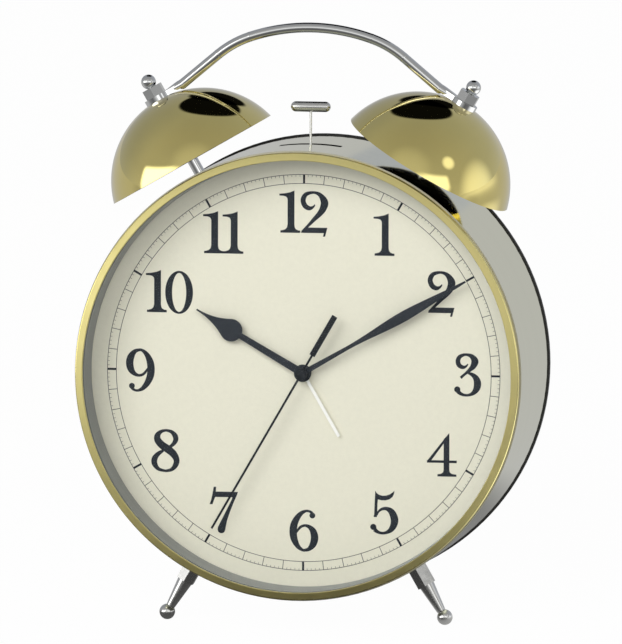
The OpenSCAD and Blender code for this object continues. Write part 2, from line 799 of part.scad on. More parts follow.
module alarm_switch() {
    at = [-switch_travel / 2, switch_z];
    button = switch_stem + [2, 3];
    button_top = cover_back + 2.4;
    grip_w = 0.9;
    grip_h = 0.6;
    color(white) stand() {
        block(at, switch_stem, cover_inside - switch_depth + free_gap, button_top);
        block(at, button, cover_back + free_gap, button_top);
        for (k = [-1:1]) block(at + [2 * grip_w * k, 0], [grip_w, button[1] - 2],
            button_top - past, button_top + grip_h);
    }
}

// Hammer and striker

module hammer_head() {
    end_r = head_d / 2;
    edge = 1.2;
    color(chrome) stand() difference() {
        translate([0, bell_y, head_z]) rotate([0, 90, 0]) rotate_extrude() polygon(concat(
            [[0, -head_len / 2]],
            arc([end_r - edge, -head_len / 2 + edge], edge, 270, 360, 4),
            arc([end_r - edge, head_len / 2 - edge], edge, 0, 90, 4),
            [[0, head_len / 2]]));
        translate([0, bell_y, head_z - head_d]) cylinder(d = rod_d + 2 * fit_gap, h = head_d + fit_gap);
    }
}

module hammer_rod() {
    foot_z = lever_boss_top - rod_seat;
    color(chrome) stand() translate([0, bell_y, foot_z]) cylinder(d = rod_d, h = head_z - foot_z);
}

module hammer_lever() {
    color(white) stand() difference() {
        union() {
            bar([0, pivot_z], lever_hub_r, bracket_front + bracket_t + lever_air, bracket_back - lever_air);
            translate([0, bell_y, pivot_z]) cylinder(r = lever_boss_r, h = lever_boss_top - pivot_z);
            block([0, (pivot_z + lever_tail_z) / 2], [lever_w, pivot_z - lever_tail_z],
                bell_y - lever_t / 2, bell_y + lever_t / 2);
        }
        bar([0, pivot_z], pivot_r + run_gap, bracket_front, bracket_back + bracket_t);
        translate([0, bell_y, lever_boss_top - rod_seat - fit_gap])
            cylinder(d = rod_d + 2 * fit_gap, h = 2 * rod_seat);
    }
}

module armature() {
    color(steel) stand() block([0, armature_z + armature_h / 2], [armature_w, armature_h],
        bell_y - core_t / 2, bell_y + core_t / 2);
}

module pivot_pin() {
    color(chrome) stand()
        bar([0, pivot_z], pivot_r, bracket_front - lever_air, bracket_back + bracket_t + lever_air);
}

module bracket_plan(ears) {
    translate([-bracket_w / 2, bracket_z]) square([bracket_w, bracket_top - bracket_z]);
    if (ears) {
        translate(bracket_ears[0] - [0, bracket_ear_r])
            square([bracket_ears[1][0] - bracket_ears[0][0], 2 * bracket_ear_r]);
        for (p = bracket_ears) translate(p) circle(bracket_ear_r);
    }
}

module hammer_bracket() {
    color(steel) stand() difference() {
        union() {
            slab(bracket_front, bracket_t) bracket_plan(true);
            slab(bracket_back, bracket_t) bracket_plan(false);
            block([0, bracket_z + bracket_t / 2], [bracket_w, bracket_t],
                bracket_front, bracket_back + bracket_t);
        }
        bar([0, pivot_z], pivot_r + fit_gap, bracket_front - past, bracket_back + bracket_t + past);
        for (p = bracket_ears) bar(p, screw_hole_r, bracket_front - past, bracket_front + bracket_t + past);
    }
}

module bracket_screws() {
    seat = bracket_front + bracket_t;
    color(chrome) stand() for (p = bracket_ears) {
        bar(p, screw_r, bracket_front - bracket_screw_len, seat + screw_head_h);
        bar(p, screw_head_r, seat, seat + screw_head_h);
    }
}

module coil_core() {
    leg_mid = core_in + core_leg / 2;
    color(grey) stand() {
        block([0, core_z + core_base / 2], [2 * core_in + 2 * core_leg, core_base],
            bell_y - core_t / 2, bell_y + core_t / 2);
        for (side = [-1, 1]) block([side * leg_mid, (core_z + core_leg_top) / 2],
            [core_leg, core_leg_top - core_z], bell_y - core_t / 2, bell_y + core_t / 2);
        translate([0, bell_y, core_z]) cylinder(r = pole_r, h = pole_top - core_z);
    }
}

module coil_bobbin() {
    color(white) stand() translate([0, bell_y, core_z + core_base]) difference() {
        union() {
            cylinder(r = flange_r, h = flange_t);
            cylinder(r = bobbin_r, h = coil_len);
            translate([0, 0, coil_len - flange_t]) cylinder(r = flange_r, h = flange_t);
        }
        translate([0, 0, -past]) cylinder(r = pole_r + fit_gap, h = coil_len + 2 * past);
    }
}

module coil_winding() {
    color(copper) stand() translate([0, bell_y, core_z + core_base + flange_t]) difference() {
        cylinder(r = winding_r, h = coil_len - 2 * flange_t);
        translate([0, 0, -past]) cylinder(r = bobbin_r + fit_gap, h = coil_len + 2 * past);
    }
}

// Movement

function house_posts() = [for (sx = [-1, 1], sz = [-1, 1])
    house_c + [sx * (house[0] / 2 - post_inset), sz * (house[1] / 2 - post_inset)]];

module rounded_plan(inset) {
    w = house[0] - 2 * inset;
    h = house[1] - 2 * inset;
    r = house_round - inset / 2;
    translate(house_c) {
        square([w - 2 * r, h], center = true);
        square([w, h - 2 * r], center = true);
        for (sx = [-1, 1], sz = [-1, 1]) translate([sx * (w / 2 - r), sz * (h / 2 - r)]) circle(r);
    }
}

module movement_front() {
    color(black) stand() difference() {
        union() {
            slab(chassis_back, plate_t) rounded_plan(0);
            bar([0, 0], bush_r, dial_y - bush_proud, y_front);
            for (p = house_posts()) bar(p, house_post_r, y_front, y_bridge);
        }
        bar([0, 0], alarm_r + run_gap, dial_y - past, y_front + past);
        bar(alarm_p, stud_pin_r + run_gap, y_front - pin_seat, y_front + past);
        for (p = house_posts()) bar(p, house_screw_r + fit_gap, chassis_back - past, y_bridge + past);
    }
}

module middle_plate() {
    color(grey) stand() difference() {
        union() {
            slab(y_bridge, bridge_t) rounded_plan(house_wall + free_gap);
            bar(motion_p, stud_pin_r, y_bridge, y_motion + wheel_t + pin_proud);
        }
        bar([0, 0], hour_r + free_gap, y_bridge - past, y_hour);
        bar(alarm_p, arbor_r + run_gap, y_bridge - past, y_hour);
        bar(time_p, stud_pin_r + run_gap, y_bridge - past, y_hour);
        for (p = house_posts()) bar(p, house_screw_r + fit_gap, y_bridge - past, y_hour);
    }
}

module movement_back() {
    color(black) stand() difference() {
        union() {
            difference() {
                slab(y_front, y_end - y_front) rounded_plan(0);
                slab(y_front - past, y_rear - y_front + past) rounded_plan(house_wall);
            }
            for (p = house_posts()) bar(p, house_post_r, y_bridge + bridge_t, y_end);
            bar(third_p, stud_pin_r, y_centre - pin_proud, y_end);
            bar([0, 0], rear_bush_r, y_motor + wheel_gap, y_end);
            for (p = board_posts) bar(p, board_post_r, board_y + board_t, y_end);
        }
        bar([0, 0], second_r + run_gap, y_motor, y_rear + past / 2);
        for (p = [time_p, alarm_p]) bar(p, arbor_r + run_gap, y_rear - past, y_end + past);
        for (p = house_posts()) bar(p, house_screw_r + fit_gap, y_front, y_end + past);
    }
}

module movement_screws() {
    color(chrome) stand() for (p = house_posts()) {
        bar(p, house_screw_r, dial_back + free_gap, y_end + screw_head_h);
        bar(p, house_screw_head_r, y_end, y_end + screw_head_h);
    }
}

module drive_motor() {
    color(chrome) stand() difference() {
        bar(motor_p, motor_r, y_motor, y_rear);
        bar(motor_p, stud_pin_r + run_gap, y_motor - past, y_rear - past);
        bar([0, 0], rear_bush_r + free_gap, y_motor - past, y_rear + past);
    }
}

module motor_pinion() {
    color(brass) stand() {
        toothed(motor_p, z_pinion, centre_module, motor_phase, y_second - pin_proud, y_motor - free_gap);
        bar(motor_p, stud_pin_r, y_second, y_rear - pin_seat);
    }
}

module circuit_board() {
    chip = [5, 5];
    chip_t = 1.2;
    crystal_r = 1.2;
    crystal_len = 6;
    solder = 0.1;
    color("darkgreen") stand() {
        block(board_c, board, board_y, board_y + board_t);
        block(board_c + [1, 4], chip, board_y - chip_t, board_y + solder);
        translate([board_c[0], board_y - crystal_r + solder, board_c[1] - 1.5 * crystal_len])
            cylinder(r = crystal_r, h = crystal_len);
    }
}

module second_wheel() {
    color(brass) stand() {
        bar([0, 0], second_r, y_second_hand - pin_proud, y_rear);
        toothed([0, 0], z_pinion, third_module, 0, y_third - pin_proud, y_second + wheel_t / 2);
        toothed([0, 0], z_second, centre_module, 0, y_second, y_second + wheel_t);
    }
}

module third_wheel() {
    color(brass) stand() difference() {
        union() {
            toothed(third_p, z_pinion, centre_module, 0, y_centre - pin_proud, y_third + wheel_t / 2);
            toothed(third_p, z_third, third_module, third_phase, y_third, y_third + wheel_t);
        }
        bar(third_p, stud_pin_r + run_gap, y_centre - past, y_third + wheel_t + past);
    }
}

module centre_wheel() {
    color(brass) stand() difference() {
        toothed([0, 0], z_centre, centre_module, centre_phase, y_centre, y_centre + wheel_t);
        bar([0, 0], minute_r + run_gap, y_centre - past, y_centre + wheel_t + past);
    }
}

module clutch_spring() {
    color(steel) stand() difference() {
        translate([0, y_centre - 0.5, 0]) rotate([-90, 0, 0]) cylinder(r1 = 1.9, r2 = 3, h = 0.4);
        bar([0, 0], minute_r + fit_gap, y_centre - past, y_centre + past);
    }
}

module minute_arbor() {
    color(brass) stand() difference() {
        union() {
            bar([0, 0], minute_r, y_minute_hand - hand_t - tube_proud, y_third - free_gap);
            toothed([0, 0], z_cannon, motion_module, 0, y_motion - pin_proud, y_motion + wheel_t);
        }
        bar([0, 0], second_r + run_gap, y_second_hand - past, y_third + past);
    }
}

module motion_wheel() {
    color(white) stand() difference() {
        union() {
            toothed(motion_p, z_pinion, motion_module, 0, y_hour - pin_proud, y_motion + wheel_t / 2);
            toothed(motion_p, z_motion, motion_module, motion_phase, y_motion, y_motion + wheel_t);
        }
        bar(motion_p, stud_pin_r + run_gap, y_hour - past, y_motion + wheel_t + past);
    }
}

module hour_wheel() {
    color(white) stand() difference() {
        union() {
            bar([0, 0], hour_r, y_hour_hand - hand_t - tube_proud, y_hour + wheel_t);
            toothed([0, 0], z_hour, motion_module, hour_phase, y_hour, y_hour + wheel_t);
        }
        bar([0, 0], minute_r + run_gap, y_minute_hand - past, y_hour + wheel_t + past);
    }
}

module alarm_wheel() {
    color(white) stand() difference() {
        union() {
            bar([0, 0], alarm_r, y_alarm_hand - hand_t - tube_proud, y_alarm + wheel_t);
            toothed([0, 0], z_alarm, motion_module, 0, y_alarm, y_alarm + wheel_t);
        }
        bar([0, 0], hour_r + run_gap, y_hour_hand - past, y_alarm + wheel_t + past);
    }
}

// A setting arbor: a front pivot, a toothed pinion and a long stem out to its knob
module setting_arbor(p, phase, pivot_y, y) {
    bar(p, stud_pin_r, pivot_y, y);
    toothed(p, z_set, motion_module, phase, y, y + wheel_t);
    bar(p, arbor_r, y + wheel_t / 2, knob_front + knob_t - knob_face);
}

module time_arbor() {
    color(white) stand() setting_arbor(time_p, set_phase, y_bridge, y_motion);
}

module alarm_arbor() {
    color(white) stand() setting_arbor(alarm_p, alarm_phase, y_front - past, y_alarm);
}

module knob(p) {
    flutes = 18;
    flute_d = 2;
    slab(knob_front, knob_t) translate(p) difference() {
        circle(d = knob_d);
        for (k = [0:flutes - 1]) rotate(360 * k / flutes)
            translate([knob_d / 2 + flute_d / 4, 0]) circle(d = flute_d);
    }
}

module setting_knob(p) {
    color(black) stand() difference() {
        knob(p);
        bar(p, arbor_r + fit_gap, cover_back, knob_front + knob_t - knob_face + fit_gap);
    }
}
module time_knob() { setting_knob(time_p); }
module alarm_knob() { setting_knob(alarm_p); }

// Hands, drawn pointing up and turned clockwise

module hand(y, turn, hub_r, bore_r) {
    color(slate) stand() slab(y - hand_t, hand_t) rotate(-turn) difference() {
        union() {
            children();
            circle(hub_r);
        }
        circle(bore_r + fit_gap);
    }
}

module hour_hand() {
    stem_w = [3.5, 2.5];
    shoulder = 2.2;
    point_from = hour_spade_at + shoulder;
    point_w = sqrt(pow(hour_spade_r, 2) - pow(shoulder, 2));
    tip_w = 0.35;
    steps = 10;
    hub_r = 3.9;
    hand(y_hour_hand, hour_turn, hub_r, hour_r) {
        mirrored_outline([[stem_w[0] / 2, 0], [stem_w[1] / 2, hour_spade_at]]);
        translate([0, hour_spade_at]) circle(hour_spade_r);
        mirrored_outline([for (i = [0:steps]) let (t = i / steps)
            [tip_w + (point_w - tip_w) * pow(1 - t, 2.2), point_from + (hour_len - point_from) * t]]);
    }
}

module minute_hand() {
    waist = [0.85, 23.4];
    belly = [minute_belly_w / 2, 54];
    tip_w = 0.3;
    steps = 8;
    hub_r = 3.4;
    root_w = 1.25;
    hand(y_minute_hand, minute_turn, hub_r, minute_r) mirrored_outline(concat(
        [[root_w, 0]],
        [for (i = [0:steps]) let (t = i / steps)
            [ease(waist[0], belly[0], t), waist[1] + (belly[1] - waist[1]) * t]],
        [for (i = [1:steps]) let (t = i / steps)
            [belly[0] + (tip_w - belly[0]) * pow(t, 1.3), belly[1] + (minute_len - belly[1]) * t]]));
}

module second_hand() {
    hand_w = 0.95;
    weight_w = 2.6;
    weight_from = 9.6;
    cap_r = 2.6;
    cap_h = 0.8;
    color(slate) stand() difference() {
        union() {
            slab(y_second_hand - hand_t, hand_t) rotate(-second_turn) {
                translate([-hand_w / 2, -weight_from - past])
                    square([hand_w, second_len + weight_from + past]);
                translate([-weight_w / 2, -second_tail]) square([weight_w, second_tail - weight_from]);
            }
            bar([0, 0], cap_r, y_second_hand - hand_t - cap_h, y_second_hand + tube_proud);
        }
        bar([0, 0], second_r + fit_gap, y_second_hand - pin_proud - fit_gap, y_second_hand + past);
    }
}

module alarm_hand() {
    hub_r = 3.6;
    color(white) stand() slab(y_alarm_hand - hand_t, hand_t) rotate(-alarm_turn) difference() {
        union() {
            translate([-alarm_hand_w / 2, 0]) square([alarm_hand_w, alarm_len]);
            circle(hub_r);
        }
        circle(alarm_r + fit_gap);
    }
}

bezel();
lens();
inner_ring();
dial();
case_band();
chassis();
inner_nuts();
bell_left();
bell_right();
bell_post_left();
bell_post_right();
finial_left();
finial_right();
handle();
foot_left();
foot_right();
back_cover();
cover_screws();
battery_tray();
battery_contacts();
cells();
battery_door();
switch_body();
alarm_switch();
hammer_head();
hammer_rod();
hammer_lever();
armature();
pivot_pin();
hammer_bracket();
bracket_screws();
coil_core();
coil_bobbin();
coil_winding();
movement_front();
middle_plate();
movement_back();
movement_screws();
drive_motor();
motor_pinion();
circuit_board();
second_hand();
second_wheel();
third_wheel();
centre_wheel();
minute_hand();
minute_arbor();
clutch_spring();
motion_wheel();
hour_hand();
hour_wheel();
time_arbor();
time_knob();
alarm_hand();
alarm_wheel();
alarm_arbor();
alarm_knob();
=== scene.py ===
"""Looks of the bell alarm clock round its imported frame: finishes, bezel and ring, printed dial, light and camera."""

import json
import math

import bpy
import bmesh
from mathutils import Matrix, Vector


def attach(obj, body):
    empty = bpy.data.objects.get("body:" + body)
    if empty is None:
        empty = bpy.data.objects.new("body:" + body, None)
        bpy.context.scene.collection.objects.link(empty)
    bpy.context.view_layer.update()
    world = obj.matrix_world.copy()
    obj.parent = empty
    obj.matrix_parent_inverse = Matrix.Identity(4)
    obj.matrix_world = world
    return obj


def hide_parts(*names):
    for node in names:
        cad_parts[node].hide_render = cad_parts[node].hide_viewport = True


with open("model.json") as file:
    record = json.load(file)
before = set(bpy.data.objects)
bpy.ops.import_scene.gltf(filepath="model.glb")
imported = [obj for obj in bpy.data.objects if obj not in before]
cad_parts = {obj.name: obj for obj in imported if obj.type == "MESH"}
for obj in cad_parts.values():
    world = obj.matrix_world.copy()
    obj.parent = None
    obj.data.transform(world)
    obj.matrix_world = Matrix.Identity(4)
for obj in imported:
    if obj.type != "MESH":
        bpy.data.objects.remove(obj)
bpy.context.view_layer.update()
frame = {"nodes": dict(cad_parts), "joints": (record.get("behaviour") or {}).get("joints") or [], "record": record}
NODES = frame["nodes"]
MM = 0.001

# Sizes of the clock on its case axis, in millimetres: X right, Y back from the bezel's front, Z up
JOINT_PLANE_Y = 26.3
DIAL_Y = 20.5
BAND_R = 101.0
BAND_FRONT_Y = 5.0
RIM_BACK_Y = 85.2
SCREW_HEAD_H = 1.6
PILLAR_AT = 87.7
PILLAR_ANGLES = (45, 135, 225, 315)

# The case frame, from the joint that the hands turn on
hands_joint = next(j for j in frame["joints"] if j["name"] == "seconds_turn")
CASE_Y = Vector(hands_joint["axis"]).normalized()
CASE_X = Vector((1, 0, 0))
CASE_Z = CASE_X.cross(CASE_Y)
LEAN = math.atan2(-CASE_Y.z, CASE_Y.y)
CASE_ORIGIN = Vector(hands_joint["pos_m"]) - JOINT_PLANE_Y * MM * CASE_Y
CASE = Matrix.Translation(CASE_ORIGIN) @ Matrix((CASE_X, CASE_Y, CASE_Z)).transposed().to_4x4()


def srgb(r, g, b):
    """A colour as it looks on screen, 0 to 255, in the linear values that shaders take."""
    def linear(c):
        c /= 255
        return c / 12.92 if c <= 0.04045 else ((c + 0.055) / 1.055) ** 2.4
    return (linear(r), linear(g), linear(b), 1)


# Finishes

# Stretch of the grain on pieces that are turned or drawn round the case axis
AROUND = (6, 900, 6)
# Part of the noise that colour and gloss drift over
DRIFT_LOW, DRIFT_HIGH = 0.3, 0.7
DRIFT_DETAIL, DRIFT_ROUGH = 4.0, 0.6
LEAST_ROUGH = 0.02
BUMP_DETAIL, BUMP_DEPTH = 3.0, 0.0002
# Colour sockets of the mix node: two inputs and the output
MIX_A, MIX_B, MIX_OUT = 6, 7, 2
WHITE = (1, 1, 1, 1)


def new_material(name):
    """A material with its node tree and its main shader."""
    mat = bpy.data.materials.new(name)
    mat.use_nodes = True
    tree = mat.node_tree
    bsdf = tree.nodes["Principled BSDF"]
    return mat, tree, bsdf


def add(tree, kind, **sockets):
    """A new node, with values for its sockets or settings."""
    node = tree.nodes.new(kind)
    for key, value in sockets.items():
        if key in node.inputs:
            node.inputs[key].default_value = value
        else:
            setattr(node, key, value)
    return node


def combine(tree, operation, first, second):
    """Two values joined by one operation."""
    both = add(tree, "ShaderNodeMath", operation=operation)
    tree.links.new(first, both.inputs[0])
    tree.links.new(second, both.inputs[1])
    return both.outputs["Value"]


def seen_by(tree, *rays):
    """One where any of these kinds of ray looks, otherwise zero."""
    path = add(tree, "ShaderNodeLightPath")
    socket = path.outputs[rays[0]]
    for ray in rays[1:]:
        socket = combine(tree, "MAXIMUM", socket, path.outputs[ray])
    return socket


def map_range(tree, socket, from_low, from_high, to_low, to_high, kind="LINEAR"):
    """A value carried from one range to another."""
    span = add(tree, "ShaderNodeMapRange", interpolation_type=kind)
    for key, value in (("From Min", from_low), ("From Max", from_high), ("To Min", to_low), ("To Max", to_high)):
        span.inputs[key].default_value = value
    tree.links.new(socket, span.inputs["Value"])
    return span.outputs["Result"]


def mix_shaders(tree, factor, first, second):
    """Two shaders shared out by a factor."""
    mix = add(tree, "ShaderNodeMixShader")
    tree.links.new(factor, mix.inputs["Fac"])
    tree.links.new(first, mix.inputs[1])
    tree.links.new(second, mix.inputs[2])
    return mix.outputs["Shader"]


def above(tree, socket, level):
    """One where the value is over the level, otherwise zero."""
    over = add(tree, "ShaderNodeMath", operation="GREATER_THAN")
    over.inputs[1].default_value = level
    tree.links.new(socket, over.inputs[0])
    return over.outputs["Value"]


def case_coords(tree, stretch=(1, 1, 1), shift=(0, 0, 0)):
    """Coordinates in metres that lean with the case."""
    coord = add(tree, "ShaderNodeTexCoord")
    mapping = add(tree, "ShaderNodeMapping")
    mapping.inputs["Location"].default_value = shift
    mapping.inputs["Rotation"].default_value = (LEAN, 0, 0)
    mapping.inputs["Scale"].default_value = stretch
    tree.links.new(coord.outputs["Object"], mapping.inputs["Vector"])
    return mapping.outputs["Vector"]


def finish(name, colour, rough, metallic=0.0, shade=0.06, rough_span=0.06, grain=300.0, stretch=(1, 1, 1),
           bump=0.0, bump_grain=None, coat=0.0, coat_ior=1.5, specular=0.5):
    """A finish with a little drift of colour and gloss, and an optional fine bump."""
    mat, tree, bsdf = new_material(name)
    vector = case_coords(tree, stretch)
    noise = add(tree, "ShaderNodeTexNoise", Scale=grain, Detail=DRIFT_DETAIL, Roughness=DRIFT_ROUGH)
    tree.links.new(vector, noise.inputs["Vector"])
    ramp = add(tree, "ShaderNodeValToRGB")
    low, high = ramp.color_ramp.elements
    low.position, high.position = DRIFT_LOW, DRIFT_HIGH
    low.color = tuple(c * (1 - shade) for c in colour[:3]) + (1,)
    high.color = tuple(min(1, c * (1 + shade)) for c in colour[:3]) + (1,)
    tree.links.new(noise.outputs["Fac"], ramp.inputs["Fac"])
    tree.links.new(ramp.outputs["Color"], bsdf.inputs["Base Color"])
    gloss = map_range(tree, noise.outputs["Fac"], DRIFT_LOW, DRIFT_HIGH,
                      max(LEAST_ROUGH, rough - rough_span), rough + rough_span)
    tree.links.new(gloss, bsdf.inputs["Roughness"])
    bsdf.inputs["Metallic"].default_value = metallic
    bsdf.inputs["Coat Weight"].default_value = coat
    bsdf.inputs["Coat IOR"].default_value = coat_ior
    bsdf.inputs["Specular IOR Level"].default_value = specular
    if bump:
        fine = add(tree, "ShaderNodeTexNoise", Scale=bump_grain or grain, Detail=BUMP_DETAIL)
        tree.links.new(vector, fine.inputs["Vector"])
        relief = add(tree, "ShaderNodeBump", Strength=bump, Distance=BUMP_DEPTH)
        tree.links.new(fine.outputs["Fac"], relief.inputs["Height"])
        tree.links.new(relief.outputs["Normal"], bsdf.inputs["Normal"])
    return mat


# Painted shade on the band: the dark inside stands in for the shade seen through the slot, the darker front edge for
# the shade where band meets bezel
BAND_INSIDE_SHADE, BAND_EDGE_SHADE = srgb(24, 24, 26), srgb(178, 176, 160)
# How far below its surfaces the sheet still counts as its outside, and how far behind its front the painted edge shade
# reaches
BAND_SKIN, EDGE_SKIN = 0.5, 0.05


def sheet_band(name, colour, rough):
    """Polished sheet drawn round the case; its front edge and its inside are painted darker as shade."""
    mat = finish(name, colour, rough, 1, shade=0.03, rough_span=0.02, grain=1, stretch=AROUND)
    tree = mat.node_tree
    bsdf = tree.nodes["Principled BSDF"]
    axes = add(tree, "ShaderNodeSeparateXYZ")
    tree.links.new(case_coords(tree, shift=CASE.inverted().translation), axes.inputs["Vector"])
    across = add(tree, "ShaderNodeCombineXYZ")
    tree.links.new(axes.outputs["X"], across.inputs["X"])
    tree.links.new(axes.outputs["Z"], across.inputs["Z"])
    radius = add(tree, "ShaderNodeVectorMath", operation="LENGTH")
    tree.links.new(across.outputs["Vector"], radius.inputs[0])
    outside = above(tree, radius.outputs["Value"], (BAND_R - BAND_SKIN) * MM)
    behind = above(tree, axes.outputs["Y"], (BAND_FRONT_Y + EDGE_SKIN) * MM)
    sheet = combine(tree, "MULTIPLY", outside, behind)
    shown = bsdf.inputs["Base Color"].links[0].from_socket
    # Mix in the painted shade: first the dark inside, then the darker front edge
    for factor, otherwise in ((outside, BAND_INSIDE_SHADE), (behind, BAND_EDGE_SHADE)):
        mix = add(tree, "ShaderNodeMix", data_type="RGBA")
        mix.inputs[MIX_A].default_value = otherwise
        tree.links.new(factor, mix.inputs["Factor"])
        tree.links.new(shown, mix.inputs[MIX_B])
        shown = mix.outputs[MIX_OUT]
    tree.links.new(shown, bsdf.inputs["Base Color"])
    tree.links.new(sheet, bsdf.inputs["Metallic"])
    return mat


LENS_IOR, LENS_GRAIN, LENS_ROUGH = 1.08, 60.0, 0.02


def clear_lens(name):
    """Clear sheet with a faint gloss, which lamps and plain light pass as if it were air."""
    mat, tree, bsdf = new_material(name)
    bsdf.inputs["Base Color"].default_value = WHITE
    bsdf.inputs["Transmission Weight"].default_value = 1
    bsdf.inputs["IOR"].default_value = LENS_IOR
    noise = add(tree, "ShaderNodeTexNoise", Scale=LENS_GRAIN)
    tree.links.new(case_coords(tree), noise.inputs["Vector"])
    tree.links.new(map_range(tree, noise.outputs["Fac"], 0, 1, 0, LENS_ROUGH), bsdf.inputs["Roughness"])
    clear = add(tree, "ShaderNodeBsdfTransparent")
    mixed = mix_shaders(tree, seen_by(tree, "Is Shadow Ray", "Is Diffuse Ray"),
                        bsdf.outputs["BSDF"], clear.outputs["BSDF"])
    tree.links.new(mixed, tree.nodes["Material Output"].inputs["Surface"])
    return mat


GOLD = finish("gold_plate", srgb(237, 220, 134), 0.05, 1, shade=0.02, rough_span=0.02, grain=90, coat=1, coat_ior=1.6)
GOLD_BEZEL = finish("gold_bezel", srgb(231, 219, 150), 0.5, 1, shade=0.03, rough_span=0.04, grain=120)
GOLD_EDGE = finish("gold_edge", srgb(242, 230, 158), 0.14, 1, shade=0.02, rough_span=0.03, grain=120)
CHROME = finish("chrome", srgb(222, 223, 222), 0.06, 1, shade=0.02, rough_span=0.02, grain=200)
STEEL_BAND = sheet_band("band_steel", srgb(237, 238, 214), 0.05)
SATIN = finish("satin_chrome", srgb(222, 222, 219), 0.2, 1, shade=0.03, rough_span=0.05, grain=400)
# Painted highlight: the hammer rod's near-white finish stands in for the bright reflections along the thin steel rod
PALE_ROD_HIGHLIGHT = finish("pale_rod_highlight", srgb(246, 246, 242), 0.3, 0.2, shade=0.02, rough_span=0.04, grain=400)
ZINC = finish("zinc_steel", srgb(176, 178, 178), 0.38, 1, shade=0.08, rough_span=0.08, grain=900, bump=0.05)
LENS = clear_lens("lens_glass")
RING = finish("ring_grey", srgb(124, 128, 130), 0.36, 0, shade=0.05, rough_span=0.06, grain=1, stretch=AROUND)
DIAL = finish("dial_paint", srgb(228, 226, 207), 0.55, 0, shade=0.018, rough_span=0.05, grain=500, bump=0.05,
              bump_grain=2600)
INK = finish("dial_ink", srgb(44, 48, 53), 0.6, 0, shade=0.06, rough_span=0.05, grain=700, specular=0.1)
FINE_INK = finish("track_ink", srgb(92, 93, 90), 0.6, 0, shade=0.06, rough_span=0.05, grain=700, specular=0.1)
HAND = finish("hand_slate", srgb(44, 48, 53), 0.45, 0, shade=0.06, rough_span=0.06, grain=600, specular=0.15)
HAND_DARK = finish("hand_dark", srgb(30, 33, 36), 0.45, 0, shade=0.06, rough_span=0.06, grain=600,
                   specular=0.15)
HAND_WHITE = finish("hand_white", srgb(246, 246, 240), 0.4, 0, shade=0.02, rough_span=0.05, grain=600)
COVER = finish("black_cover", srgb(30, 30, 32), 0.5, 0, shade=0.12, rough_span=0.07, grain=500, bump=0.25,
               bump_grain=1600)
BLACK = finish("black_plastic", srgb(26, 26, 28), 0.45, 0, shade=0.12, rough_span=0.07, grain=500, bump=0.12,
               bump_grain=1600)
KNOB = finish("knob_plastic", srgb(34, 34, 36), 0.36, 0, shade=0.1, rough_span=0.06, grain=700, bump=0.08,
              bump_grain=2200)
WHITE_PLASTIC = finish("white_plastic", srgb(232, 232, 226), 0.35, 0, shade=0.03, rough_span=0.05, grain=500)
GREY_PLASTIC = finish("grey_plastic", srgb(118, 120, 116), 0.45, 0, shade=0.05, rough_span=0.06, grain=500)
COPPER = finish("copper_wire", srgb(176, 98, 58), 0.3, 1, shade=0.15, rough_span=0.08, grain=1, stretch=(6, 6, 2500))
BRASS = finish("brass", srgb(196, 164, 92), 0.25, 1, shade=0.06, rough_span=0.06, grain=900, bump=0.03)
BOARD = finish("board_green", srgb(22, 92, 52), 0.35, 0, shade=0.15, rough_span=0.08, grain=900)
CELL = finish("cell_wrap", srgb(52, 52, 56), 0.3, 0, shade=0.08, rough_span=0.06, grain=400, coat=0.3)
# Painted shade for the cross recesses in the cover's screw heads
RECESS_SHADE = finish("recess_shade", srgb(70, 70, 70), 0.5, 1, shade=0.1, rough_span=0.06, grain=900)

FINISH_OF_SLOT = {
    "lens_glass": LENS, "ring_grey": RING, "dial_paint": DIAL, "band_steel": STEEL_BAND,
    "black_plastic": BLACK, "black_cover": COVER, "chrome": CHROME, "zinc_steel": ZINC, "cell_wrap": CELL,
    "white_plastic": WHITE_PLASTIC, "grey_plastic": GREY_PLASTIC, "copper_wire": COPPER, "brass": BRASS,
    "board_green": BOARD, "hand_slate": HAND, "hand_white": HAND_WHITE, "gold_plate": GOLD,
}
# The hammer rod takes the near-white painted highlight finish
FINISH_OF_NODE = {"time_knob": KNOB, "alarm_knob": KNOB, "second_hand": HAND_DARK, "hammer_rod": PALE_ROD_HIGHLIGHT,
                  "foot_left": SATIN, "foot_right": SATIN}
for part in frame["record"]["subparts"]:
    node = NODES[part["node"]]
    node.data.materials.clear()
    node.data.materials.append(FINISH_OF_NODE.get(part["node"], FINISH_OF_SLOT[part["material_slot"]]))


# Pieces drawn on the case axis

def piece(name, bm, material, body):
    """A mesh in millimetres on the case axis, put in place and riding on its body."""
    bmesh.ops.recalc_face_normals(bm, faces=bm.faces)
    mesh = bpy.data.meshes.new(name)
    bm.transform(Matrix.Scale(MM, 4))
    bm.transform(CASE)
    bm.to_mesh(mesh)
    bm.free()
    obj = bpy.data.objects.new(name, mesh)
    bpy.context.scene.collection.objects.link(obj)
    mesh.materials.append(material)
    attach(obj, body)
    return obj


def prism(bm, outline, front, back):
    """A flat outline of x and z, filling the depths from front to back."""
    near = [bm.verts.new((x, front, z)) for x, z in outline]
    far = [bm.verts.new((x, back, z)) for x, z in outline]
    bm.faces.new(near)
    bm.faces.new(list(reversed(far)))
    for i in range(len(outline)):
        k = (i + 1) % len(outline)
        bm.faces.new((near[i], far[i], far[k], near[k]))


